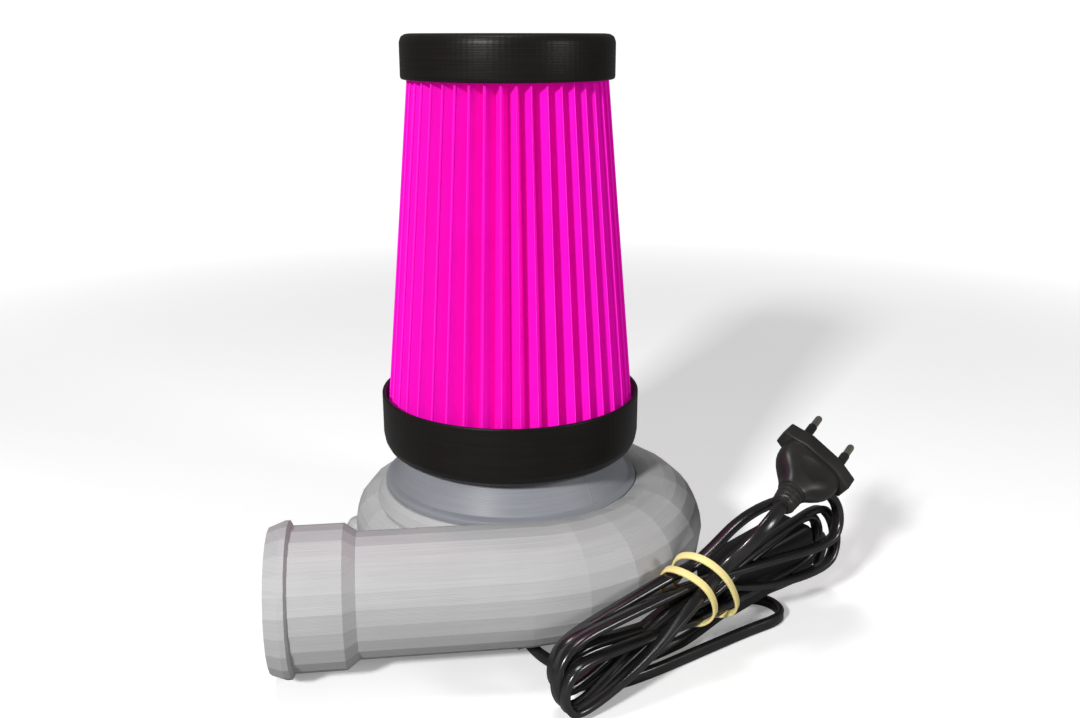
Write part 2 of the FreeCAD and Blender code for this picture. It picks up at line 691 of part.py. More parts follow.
def plug_body():
    """The flat moulded plug with its flange and tapered strain relief."""
    flange = Part.Face(flange_wire(-FLANGE_DEPTH)).extrude(V(0, 0, FLANGE_DEPTH))
    back = -FLANGE_DEPTH
    sections = [oval_wire(28.6, 11.6, back + 0.5), oval_wire(29.0, 12.4, back - 3.5),
                oval_wire(27.6, 13.0, back - 8.5), oval_wire(19.0, 12.2, back - 14.5),
                oval_wire(12.6, 11.0, back - 20.0)]
    grip = Part.makeLoft(sections, True, False)
    neck = Part.makeCone(5.4, 4.9, 10.0, V(0, 0, back - 19.8), V(0, 0, -1))
    shape = flange.fuse([grip, neck])
    shape = shape.cut([Part.makeCylinder(2.05, 5, V(x, 0, -4.0), UP)
                       for x in (-PIN_PITCH / 2, PIN_PITCH / 2)])
    shape.Placement = plug_place()
    return shape


def plug_pins():
    """The two round pins."""
    pins = []
    for x in (-PIN_PITCH / 2, PIN_PITCH / 2):
        tip = Part.makeSphere(1.6, V(x, 0, PIN_LENGTH - 1.6))
        pins.append(Part.makeCylinder(1.6, PIN_LENGTH - 0.7, V(x, 0, -0.9), UP).fuse(tip))
    shape = group(pins)
    shape.Placement = plug_place()
    return shape


def pin_sleeves():
    """The insulating sleeves on the pins' inner halves."""
    sleeves = [Part.makeCylinder(2.0, 14.0, V(x, 0, -3.0), UP)
               .cut(Part.makeCylinder(1.6, 30, V(x, 0, -0.9), UP))
               for x in (-PIN_PITCH / 2, PIN_PITCH / 2)]
    shape = group(sleeves)
    shape.Placement = plug_place()
    return shape


# ---- Everything together -------------------------------------------------------------

def main():
    """Build and save every sub-part."""
    os.makedirs("parts", exist_ok=True)
    save("scroll_casing", scroll_casing())
    save("inlet_neck", inlet_neck())
    save("inlet_bellmouth", inlet_bellmouth())
    save("base_plate", base_plate())
    save("base_screws", base_screws())
    save("cord_gland", cord_gland())
    save("motor_cradle", motor_cradle())
    save("cradle_feet", cradle_feet())
    save("motor_can", motor_can())
    save("motor_magnets", motor_magnets())
    save("motor_end_bell", motor_end_bell())
    save("front_bush", bush(54.0, 59.0))
    save("rear_bush", bush(10.0, 13.0))
    save("brushes", brushes())
    save("brush_holders", brush_holders())
    save("rectifier_board", rectifier_board())
    save("bridge_rectifier", bridge_rectifier())
    save("board_posts", board_posts())
    save("terminal_block", terminal_block())
    save("terminal_screws", terminal_screws())
    save("motor_shaft", motor_shaft())
    save("armature_core", armature_core())
    save("armature_windings", armature_windings())
    save("commutator", commutator())
    save("impeller", impeller())
    save("hub_bush", hub_bush())
    save("grub_screw", grub_screw())
    save("filter_top_cap", filter_top_cap())
    save("filter_pleats", filter_pleats())
    save("filter_core", filter_core())
    save("filter_base_ring", filter_base_ring())
    save("filter_potting", filter_potting())
    save("filter_gasket", filter_gasket())
    save("mains_cord", tube("mains_cord", CORD_ROUTE, CORD_R))
    save("cord_tail", tube("cord_tail", TAIL_ROUTE, CORD_R))
    save("cord_hank", cord_hank())
    save("rubber_band", rubber_band())
    save("switch_front_shell", switch_front_shell())
    save("switch_rear_shell", switch_rear_shell())
    save("switch_rocker", switch_rocker())
    save("rocker_pin", rocker_pin())
    save("switch_screws", switch_screws())
    save("plug_body", plug_body())
    save("plug_pins", plug_pins())
    save("pin_sleeves", pin_sleeves())


main()
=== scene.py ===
import json
import logging
import math
from dataclasses import dataclass, field
from enum import Enum
from typing import Callable, Iterable, Sequence

import bmesh
import bpy
from mathutils import Matrix, Vector


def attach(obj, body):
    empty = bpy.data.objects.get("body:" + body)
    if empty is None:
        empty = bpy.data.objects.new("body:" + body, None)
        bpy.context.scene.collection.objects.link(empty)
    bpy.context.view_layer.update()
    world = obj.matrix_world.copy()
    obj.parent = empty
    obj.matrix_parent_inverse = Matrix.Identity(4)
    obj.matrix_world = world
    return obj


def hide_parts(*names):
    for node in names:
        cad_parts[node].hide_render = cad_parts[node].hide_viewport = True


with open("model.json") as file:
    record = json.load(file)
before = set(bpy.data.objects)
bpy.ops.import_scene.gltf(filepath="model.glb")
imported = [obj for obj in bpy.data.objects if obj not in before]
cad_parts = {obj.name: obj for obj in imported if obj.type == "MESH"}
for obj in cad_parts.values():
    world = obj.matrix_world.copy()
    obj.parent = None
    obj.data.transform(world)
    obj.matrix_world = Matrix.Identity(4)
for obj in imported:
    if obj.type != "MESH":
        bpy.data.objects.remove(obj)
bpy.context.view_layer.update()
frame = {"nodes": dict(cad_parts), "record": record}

LOG = logging.getLogger("fume_extractor")
MM = 0.001

POLE = 0.004  # millimetres: near enough to the axis for a ring to merge into a point

Colour = tuple[float, float, float]
Triple = tuple[float, float, float]
Pair = tuple[float, float]


class Join(Enum):
    """What a second solid does to the first."""

    UNION = "UNION"
    DIFFERENCE = "DIFFERENCE"


class Element(Enum):
    """A kind of mesh element that can be selected."""

    VERT = "VERT"
    EDGE = "EDGE"


# ---- Shader arithmetic ---------------------------------------------------------------

class Tap:
    """A value in a material's tree, with operators that add Math nodes."""

    def __init__(self, bench: "ShaderBench", socket: bpy.types.NodeSocket) -> None:
        """Keep the bench that the value belongs to and its output socket."""
        self.bench = bench
        self.socket = socket

    def _math(self, operation: str, *others: "Tap | float") -> "Tap":
        """Add one Math node whose first input is this value."""
        values = {0: self.socket}
        for index, other in enumerate(others, start=1):
            values[index] = other.socket if isinstance(other, Tap) else other
        node = self.bench.node("ShaderNodeMath", {"operation": operation}, values)
        return Tap(self.bench, node.outputs[0])

    def __add__(self, other: "Tap | float") -> "Tap":
        """This value plus another."""
        return self._math("ADD", other)

    __radd__ = __add__

    def __mul__(self, other: "Tap | float") -> "Tap":
        """This value times another."""
        return self._math("MULTIPLY", other)

    __rmul__ = __mul__

    def __sub__(self, other: "Tap | float") -> "Tap":
        """This value minus another."""
        return self._math("SUBTRACT", other)

    def __rsub__(self, other: float) -> "Tap":
        """A number minus this value."""
        return self * -1.0 + other

    def sine(self) -> "Tap":
        """The sine of this value in radians."""
        return self._math("SINE")

    def power(self, exponent: float) -> "Tap":
        """This value raised to a power."""
        return self._math("POWER", exponent)

    def turn(self, other: "Tap") -> "Tap":
        """The angle whose tangent is this value over another."""
        return self._math("ARCTAN2", other)

    def ramped(self, low: float, high: float) -> "Tap":
        """A smooth step from 0 at low to 1 at high."""
        node = self.bench.node("ShaderNodeMapRange", {"interpolation_type": "SMOOTHSTEP"},
                               {"Value": self.socket, "From Min": low, "From Max": high})
        return Tap(self.bench, node.outputs[0])


class ShaderBench:
    """One material being wired up around a Principled shader."""

    def __init__(self, name: str) -> None:
        """Start an empty material with its shader and its output."""
        self.material = bpy.data.materials.new(name)
        self.material.use_nodes = True
        self.tree = self.material.node_tree
        self.shader = next(n for n in self.tree.nodes if n.type == "BSDF_PRINCIPLED")

    def node(self, kind: str, settings: dict | None = None,
             values: dict | None = None) -> bpy.types.Node:
        """Add any node.

        Args:
            kind: the node's type name.
            settings: attributes that are set first; "stops" fills a colour ramp.
            values: a number, a colour or a link for each input socket.
        Returns:
            The new node.
        """
        made = self.tree.nodes.new(kind)
        for key, value in (settings or {}).items():
            if key == "stops":
                ramp = made.color_ramp
                for index, (place, colour) in enumerate(value):
                    stop = ramp.elements[index] if index < 2 else ramp.elements.new(place)
                    stop.position = place
                    stop.color = (*colour, 1.0)
            else:
                setattr(made, key, value)
        for key, value in (values or {}).items():
            if isinstance(value, bpy.types.NodeSocket):
                self.tree.links.new(value, made.inputs[key])
            else:
                made.inputs[key].default_value = value
        return made

    def spot(self, scale: Sequence[float] = (1, 1, 1)) -> bpy.types.NodeSocket:
        """Object coordinates stretched by a scale."""
        place = self.node("ShaderNodeTexCoord").outputs["Object"]
        return self.node("ShaderNodeMapping", None,
                         {"Vector": place, "Scale": scale}).outputs[0]

    def axis(self, name: str) -> Tap:
        """One Object coordinate as a value."""
        place = self.node("ShaderNodeTexCoord").outputs["Object"]
        split = self.node("ShaderNodeSeparateXYZ", None, {0: place})
        return Tap(self, split.outputs[name])

    def reach(self) -> Tap:
        """The squared distance from the Z axis."""
        return self.axis("X").power(2.0) + self.axis("Y").power(2.0)

    def noise(self, scale: float, detail: float = 2.0,
              stretch: Sequence[float] = (1, 1, 1)) -> Tap:
        """Smooth noise between 0 and 1."""
        made = self.node("ShaderNodeTexNoise", None,
                         {"Vector": self.spot(stretch), "Scale": scale, "Detail": detail})
        return Tap(self, made.outputs[0])

    def blend(self, mask: Tap, first: Colour, second: Colour) -> bpy.types.NodeSocket:
        """A colour between two others."""
        made = self.node("ShaderNodeMix", {"data_type": "RGBA"},
                         {0: mask.socket, 6: (*first, 1.0), 7: (*second, 1.0)})
        return made.outputs[2]

    def relief(self, height: Tap, depth: float, strength: float = 1.0) -> None:
        """Feed a height in metres times depth to the shader's normal."""
        bump = self.node("ShaderNodeBump", None,
                         {"Height": height.socket, "Distance": depth, "Strength": strength})
        self.link("Normal", bump.outputs[0])

    def link(self, socket: str, source: "Tap | bpy.types.NodeSocket") -> None:
        """Connect a source to one of the shader's sockets."""
        output = source.socket if isinstance(source, Tap) else source
        self.tree.links.new(output, self.shader.inputs[socket])

    def set(self, **values: float | Colour) -> None:
        """Set the shader's own sockets, with spaces written as underscores."""
        for key, value in values.items():
            whole = (*value, 1.0) if isinstance(value, tuple) else value
            self.shader.inputs[key.replace("_", " ")].default_value = whole


# ---- Finishes ------------------------------------------------------------------------

@dataclass(frozen=True)
class PrintedPlastic:
    """Layer-printed plastic: fine level lines, streaks and a slightly uneven tone."""

    light: Colour
    dark: Colour
    roughness: float
    layer: float = 0.00055
    line_depth: float = 0.00004
    upright_lines: float = 0.0
    shine: float = 0.35

    def make(self, name: str) -> bpy.types.Material:
        """Build the material.

        Args:
            name: the material's name.
        Returns:
            The finished material.
        """
        bench = ShaderBench(name)
        streaks = bench.noise(1.0, 3.0, (26, 26, 1900))
        broad = bench.noise(1.0, 2.0, (18, 18, 240))
        cloud = bench.noise(38.0, 3.0)
        height = bench.axis("Z")
        lines = (height * (2 * math.pi / self.layer)).sine() * 0.5 + 0.5
        tone = (streaks * 0.6 + broad * 0.15 + cloud * 0.4 - 0.1).ramped(0.25, 0.75)
        bench.link("Base Color", bench.blend(tone, self.dark, self.light))
        bench.link("Roughness", streaks * 0.16 + (self.roughness - 0.08))
        bench.set(Specular_IOR_Level=self.shine)
        relief = lines * 0.45 + streaks * 0.6 + broad * 0.15
        if self.upright_lines:
            turn = bench.axis("X").turn(bench.axis("Y"))
            seams = bench.noise(1.0, 1.0, (1, 1, 0.2))
            ripple = (turn * self.upright_lines + seams * 4.0).sine() * 0.5 + 0.5
            relief = relief + ripple * bench.reach().ramped(0.0015, 0.0018) * 0.5
        bench.relief(relief, self.line_depth)
        return bench.material


@dataclass(frozen=True)
class FilterPaper:
    """Bright pleated filter paper with a fibrous face, paler fold lines and a painted glow that
    brightens its shaded valleys.
    """

    colour: Colour
    shade: Colour
    fold: Colour
    # painted light: the paper glows faintly in its own colour, brightening the shaded valleys
    # between the pleats
    painted_glow: float = 0.15

    def make(self, name: str) -> bpy.types.Material:
        """Build the material, whose folds and valleys follow the pleat attribute."""
        bench = ShaderBench(name)
        depth = Tap(bench, bench.node("ShaderNodeAttribute",
                                      {"attribute_name": "pleat"}).outputs["Fac"])
        fibre = bench.noise(1500.0, 3.0, (1, 1, 0.35))
        cloud = bench.noise(60.0, 2.0)
        face = bench.blend((fibre * 0.6 + cloud * 0.5).ramped(0.3, 0.8), self.shade, self.colour)
        pale = depth.ramped(0.93, 1.0)
        colour = bench.node("ShaderNodeMix", {"data_type": "RGBA"},
                            {0: pale.socket, 6: face, 7: (*self.fold, 1.0)}).outputs[2]
        bench.link("Base Color", colour)
        # the emission is painted light: it lifts the shaded valleys, as no lamp lights them
        bench.set(Roughness=0.85, Specular_IOR_Level=0.12, Emission_Color=self.colour,
                  Emission_Strength=self.painted_glow)
        bench.relief(fibre + cloud * 0.5, 0.00005)
        return bench.material


@dataclass(frozen=True)
class SoftPlastic:
    """Moulded plastic, rubber or cord sheath with a fine skin texture."""

    colour: Colour
    roughness: float
    grain: float = 900.0
    grain_depth: float = 0.00001
    wear: float = 0.3
    coat: float = 0.0
    translucent: float = 0.0
    shine: float = 0.4

    def make(self, name: str) -> bpy.types.Material:
        """Build the material."""
        bench = ShaderBench(name)
        grain = bench.noise(self.grain, 2.0)
        smudge = bench.noise(45.0, 3.0)
        worn = tuple(min(1.0, channel * (1.0 + self.wear) + 0.004) for channel in self.colour)
        bench.link("Base Color", bench.blend(smudge.ramped(0.35, 0.7), self.colour, worn))
        bench.link("Roughness", smudge * 0.16 + grain * 0.06 + (self.roughness - 0.11))
        bench.set(Coat_Weight=self.coat, Coat_Roughness=0.2, Specular_IOR_Level=self.shine,
                  Subsurface_Weight=self.translucent, Subsurface_Scale=0.002)
        bench.relief(grain, self.grain_depth)
        return bench.material


@dataclass(frozen=True)
class Metal:
    """Bare metal with fine working marks."""

    colour: Colour
    roughness: float
    marks: Triple = (400.0, 400.0, 20.0)

    def make(self, name: str) -> bpy.types.Material:
        """Build the material."""
        bench = ShaderBench(name)
        marks = bench.noise(1.0, 3.0, self.marks)
        tarnish = bench.noise(90.0, 3.0)
        dull = tuple(channel * 0.72 for channel in self.colour)
        bench.link("Base Color", bench.blend(tarnish.ramped(0.3, 0.75), self.colour, dull))
        bench.link("Roughness", marks * 0.2 + tarnish * 0.12 + (self.roughness - 0.16))
        bench.set(Metallic=1.0)
        bench.relief(marks, 0.00001)
        return bench.material


FINISHES = {
    "grey_print": PrintedPlastic((0.455, 0.45, 0.45), (0.395, 0.395, 0.40), 0.46,
                                 line_depth=0.00006),
    "blue_grey_print": PrintedPlastic((0.262, 0.272, 0.295), (0.222, 0.232, 0.258), 0.42),
    "dark_print": PrintedPlastic((0.045, 0.045, 0.05), (0.03, 0.03, 0.035), 0.5),
    "black_print": PrintedPlastic((0.011, 0.0094, 0.0085), (0.0065, 0.0056, 0.005), 0.38,
                                  upright_lines=120.0, shine=0.16),
    "magenta_paper": FilterPaper((0.86, 0.004, 0.55), (0.79, 0.002, 0.48), (0.96, 0.06, 0.72)),
    "black_rubber": SoftPlastic((0.02, 0.02, 0.02), 0.6),
    "cord_pvc": SoftPlastic((0.008, 0.0072, 0.0072), 0.24, grain=600.0, shine=0.75),
    "plug_pvc": SoftPlastic((0.014, 0.0128, 0.0122), 0.35, grain=1500.0,
                            grain_depth=0.00002, shine=0.42),
    "cream_rubber": SoftPlastic((0.90, 0.74, 0.32), 0.5, grain=500.0, wear=0.12,
                                translucent=0.25),
    "black_plastic": SoftPlastic((0.008, 0.008, 0.0085), 0.42, shine=0.35),
    "white_plastic": SoftPlastic((0.75, 0.75, 0.72), 0.4),
    "resin": SoftPlastic((0.03, 0.025, 0.03), 0.3),
    "zinc_steel": Metal((0.62, 0.63, 0.64), 0.35),
    "plated_steel": Metal((0.66, 0.65, 0.60), 0.35),
    "ferrite": SoftPlastic((0.05, 0.05, 0.05), 0.7),
    "bronze": Metal((0.50, 0.33, 0.16), 0.45),
    "brass": Metal((0.75, 0.56, 0.25), 0.3),
    "carbon": SoftPlastic((0.03, 0.03, 0.03), 0.6),
    "board_green": SoftPlastic((0.02, 0.14, 0.06), 0.35),
    "lamination": Metal((0.36, 0.36, 0.38), 0.4, (30.0, 30.0, 2500.0)),
    "copper": Metal((0.70, 0.30, 0.15), 0.35, (30.0, 30.0, 1800.0)),
    "nickel": Metal((0.56, 0.52, 0.45), 0.34),
}


class Dresser:
    """Makes each finish once and puts it on pieces."""

    def __init__(self) -> None:
        """Start with nothing made."""
        self.made: dict[str, bpy.types.Material] = {}

    def material(self, slot: str) -> bpy.types.Material:
        """The material of one of the record's slots."""
        if slot not in self.made:
            self.made[slot] = FINISHES[slot].make(slot)
        return self.made[slot]

    def dress(self, piece: bpy.types.Object, slot: str) -> None:
        """Put one finish over a whole piece."""
        piece.data.materials.clear()
        piece.data.materials.append(self.material(slot))

    def settle(self, piece: bpy.types.Object, slot: str, body: str,
               *nodes: str) -> bpy.types.Object:
        """Dress a finished piece, let it ride, and report it.

        Args:
            piece: the piece.
            slot: the finish it gets.
            body: the body it rides on.
            nodes: the nodes that it stands for.
        Returns:
            The same piece.
        """
        self.dress(piece, slot)
        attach(piece, body)
        if nodes:
            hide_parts(*nodes)
        LOG.info("%s: %d faces", piece.name, len(piece.data.polygons))
        return piece

    def dress_frame(self) -> None:
        """Give every carried-over node its own finish."""
        for part in frame["record"]["subparts"]:
            node = frame["nodes"][part["node"]]
            node.data.materials.clear()
            node.data.materials.append(self.material(part["material_slot"]))


# ---- Modelling helpers ---------------------------------------------------------------

class Bench:
    """Edit-mode work on one mesh, from a first primitive to the finished piece."""

    def __init__(self, name: str) -> None:
        """Deselect everything, so that operators act on the new piece only."""
        if bpy.context.mode != "OBJECT":
            bpy.ops.object.mode_set(mode="OBJECT")
        bpy.ops.object.select_all(action="DESELECT")
        self.name = name
        self.piece: bpy.types.Object | None = None

    def adopt(self) -> bpy.types.Object:
        """Name the primitive just added and open it for editing."""
        self.piece = bpy.context.active_object
        self.piece.name = self.name
        self.piece.data.name = self.name
        bpy.ops.object.transform_apply(location=True, rotation=True, scale=True)
        bpy.ops.object.mode_set(mode="EDIT")
        return self.piece

    def select(self, kind: Element, test: Callable[[Vector], bool]) -> None:
        """Select the elements whose middle passes a test.

        Args:
            kind: the kind of element.
            test: takes the element's middle and says whether it is wanted.
        """
        bpy.ops.mesh.select_mode(type=kind.value)
        bpy.ops.mesh.select_all(action="DESELECT")
        mesh = bmesh.from_edit_mesh(self.piece.data)
        for element in mesh.verts if kind is Element.VERT else mesh.edges:
            ends = [element] if kind is Element.VERT else element.verts
            if test(sum((end.co for end in ends), Vector()) / len(ends)):
                element.select_set(True)
        mesh.select_flush_mode()
        bmesh.update_edit_mesh(self.piece.data)

    def select_rim(self) -> None:
        """Select the edges that have a face on one side only."""
        bpy.ops.mesh.select_mode(type="EDGE")
        bpy.ops.mesh.select_all(action="DESELECT")
        mesh = bmesh.from_edit_mesh(self.piece.data)
        for edge in mesh.edges:
            edge.select_set(edge.is_boundary)
        bmesh.update_edit_mesh(self.piece.data)

    def close(self) -> bpy.types.Object:
        """Merge doubles, turn the faces outwards and leave edit mode."""
        bpy.ops.mesh.select_mode(type="VERT")
        bpy.ops.mesh.select_all(action="SELECT")
        bpy.ops.mesh.remove_doubles(threshold=0.00001)
        bpy.ops.mesh.normals_make_consistent(inside=False)
        bpy.ops.mesh.select_all(action="DESELECT")
        bpy.ops.object.mode_set(mode="OBJECT")
        return self.piece


def only(piece: bpy.types.Object) -> None:
    """Make one object the only selected and active one."""
    bpy.ops.object.select_all(action="DESELECT")
    piece.select_set(True)
    bpy.context.view_layer.objects.active = piece


def finish_with(piece: bpy.types.Object, kind: str, **settings: object) -> None:
    """Add a modifier with its settings and apply it."""
    only(piece)
    modifier = piece.modifiers.new(kind.title(), kind)
    for key, value in settings.items():
        setattr(modifier, key, value)
    bpy.ops.object.modifier_apply(modifier=modifier.name)


def smooth(piece: bpy.types.Object, degrees: float = 35.0) -> None:
    """Shade a piece smooth except over sharp corners."""
    only(piece)
    bpy.ops.object.shade_smooth_by_angle(angle=math.radians(degrees))


def rounded(piece: bpy.types.Object, width: float, segments: int = 3,
            degrees: float = 40.0) -> None:
    """Round a piece's corners and smooth it."""
    finish_with(piece, "BEVEL", width=width, segments=segments, limit_method="ANGLE",
                angle_limit=math.radians(degrees), harden_normals=False)
    smooth(piece)


def placed(piece: bpy.types.Object, place: Matrix) -> bpy.types.Object:
    """Move a piece's mesh into the object's frame."""
    piece.data.transform(place)
    piece.data.update()
    return piece


def joined(whole: bpy.types.Object, other: bpy.types.Object, way: Join) -> None:
    """Unite a piece with another, or cut the other out of it, and drop the other."""
    finish_with(whole, "BOOLEAN", operation=way.value, object=other, solver="EXACT")
    bpy.data.objects.remove(other, do_unlink=True)


def block(name: str, centre: Triple, size: Triple) -> Bench:
    """A cube of a given centre and size in millimetres, open for editing."""
    bench = Bench(name)
    bpy.ops.mesh.primitive_cube_add(size=1.0, location=[part * MM for part in centre],
                                    scale=[part * MM for part in size])
    bench.adopt()
    return bench


def rod(name: str, sides: int, radius: float, length: float,
        centre: Triple = (0.0, 0.0, 0.0)) -> Bench:
    """An upright cylinder of a given size in millimetres, open for editing."""
    bench = Bench(name)
    bpy.ops.mesh.primitive_cylinder_add(vertices=sides, radius=radius * MM, depth=length * MM,
                                        location=[part * MM for part in centre])
    bench.adopt()
    return bench


def ringed(name: str, profile: Sequence[Pair], sides: int = 128,
           closed: bool = True) -> bpy.types.Object:
    """A turned piece, drawn up from a circle by extruding and resizing it.

    Args:
        name: the piece's name.
        profile: radius and height of each ring in millimetres, in order.
        sides: how many sides a ring has.
        closed: whether the last ring is bridged to the first. If not, the profile starts
            and ends at POLE, so near the axis that each end merges into one point.
    Returns:
        The piece, left in object mode.
    """
    bench = Bench(name)
    radius, height = profile[0]
    bpy.ops.mesh.primitive_circle_add(vertices=sides, radius=radius * MM,
                                      location=(0, 0, height * MM))
    bench.adopt()
    bpy.ops.mesh.select_all(action="SELECT")
    for next_radius, next_height in profile[1:]:
        bpy.ops.mesh.extrude_region_move(
            TRANSFORM_OT_translate={"value": (0, 0, (next_height - height) * MM)})
        factor = next_radius / radius
        bpy.ops.transform.resize(value=(factor, factor, 1.0))
        radius, height = next_radius, next_height
    if closed:
        bench.select_rim()
        bpy.ops.mesh.bridge_edge_loops()
    return bench.close()


@dataclass(frozen=True)
class Section:
    """One round section of a swept body, in metres."""

    centre: Vector
    radius: float
    heading: float

    def add(self, sides: int) -> None:
        """Add the section as a circle that faces along its heading, in edit mode."""
        bpy.ops.mesh.primitive_circle_add(
            vertices=sides, radius=self.radius, location=self.centre,
            rotation=(math.pi / 2, 0.0, self.heading - math.pi / 2))


def swept(name: str, sections: Sequence[Section], sides: int) -> bpy.types.Object:
    """A closed body whose round sections are bridged one after the other."""
    bench = Bench(name)
    sections[0].add(sides)
    piece = bench.adopt()
    bpy.ops.mesh.select_all(action="SELECT")
    bpy.ops.mesh.edge_face_add()
    for index, section in enumerate(sections[1:], start=1):
        bpy.ops.mesh.select_all(action="DESELECT")
        section.add(sides)
        mesh = bmesh.from_edit_mesh(piece.data)
        mesh.verts.ensure_lookup_table()
        for vert in mesh.verts[(index - 1) * sides:]:
            vert.select_set(True)
        mesh.select_flush_mode()
        bmesh.update_edit_mesh(piece.data)
        bpy.ops.mesh.select_mode(type="EDGE")
        bpy.ops.mesh.bridge_edge_loops()
        bpy.ops.mesh.select_mode(type="VERT")
    mesh = bmesh.from_edit_mesh(piece.data)
    for vert in mesh.verts:
        vert.select_set(vert.index >= (len(sections) - 1) * sides)
    mesh.select_flush_mode()
    bmesh.update_edit_mesh(piece.data)
    bpy.ops.mesh.edge_face_add()
    return bench.close()


def lofted(name: str, rings: Sequence[Sequence[Vector]], capped: bool = True,
           looped: bool = False) -> bpy.types.Object:
    """A skin through rings of points, extruded from a circle ring by ring.

    Args:
        name: the piece's name.
        rings: the rings, each with the same number of points, in metres.
        capped: whether the two ends are filled.
        looped: whether the last ring is joined to the first.
    Returns:
        The piece, left in object mode.
    """
    bench = Bench(name)
    size = len(rings[0])
    bpy.ops.mesh.primitive_circle_add(vertices=size, radius=0.01,
                                      fill_type="NGON" if capped else "NOTHING")
    piece = bench.adopt()
    bpy.ops.mesh.select_all(action="SELECT")
    for _ in rings[1:]:
        bpy.ops.mesh.extrude_region_move(TRANSFORM_OT_translate={"value": (0, 0, 0.001)})
    mesh = bmesh.from_edit_mesh(piece.data)
    levels: dict[int, list[bmesh.types.BMVert]] = {}
    for vert in mesh.verts:
        levels.setdefault(round(vert.co.z / 0.001), []).append(vert)
    for level, verts in levels.items():
        verts.sort(key=lambda vert: math.atan2(vert.co.y, vert.co.x))
        for vert, place in zip(verts, rings[level]):
            vert.co = place
    bmesh.update_edit_mesh(piece.data)
    if looped:
        bench.select_rim()
        bpy.ops.mesh.bridge_edge_loops()
    return bench.close()


def spline_line(points: Sequence[Vector], steps: int, looped: bool = False) -> list[Vector]:
    """Even points read from the smooth spline that has the given control points."""
    curve = bpy.data.curves.new("line", "CURVE")
    curve.dimensions = "3D"
    curve.resolution_u = steps
    spline = curve.splines.new("NURBS")
    spline.points.add(len(points) - 1)
    for point, place in zip(spline.points, points):
        point.co = (*place, 1.0)
    spline.order_u = 3
    spline.use_cyclic_u = looped
    spline.use_endpoint_u = not looped
    carrier = bpy.data.objects.new("line", curve)
    bpy.context.scene.collection.objects.link(carrier)
    bpy.context.view_layer.update()
    depsgraph = bpy.context.evaluated_depsgraph_get()
    mesh = bpy.data.meshes.new_from_object(carrier.evaluated_get(depsgraph))
    places = [vert.co.copy() for vert in mesh.vertices]
    bpy.data.objects.remove(carrier, do_unlink=True)
    bpy.data.meshes.remove(mesh)
    return places


# ---- The casing and the neck ---------------------------------------------------------

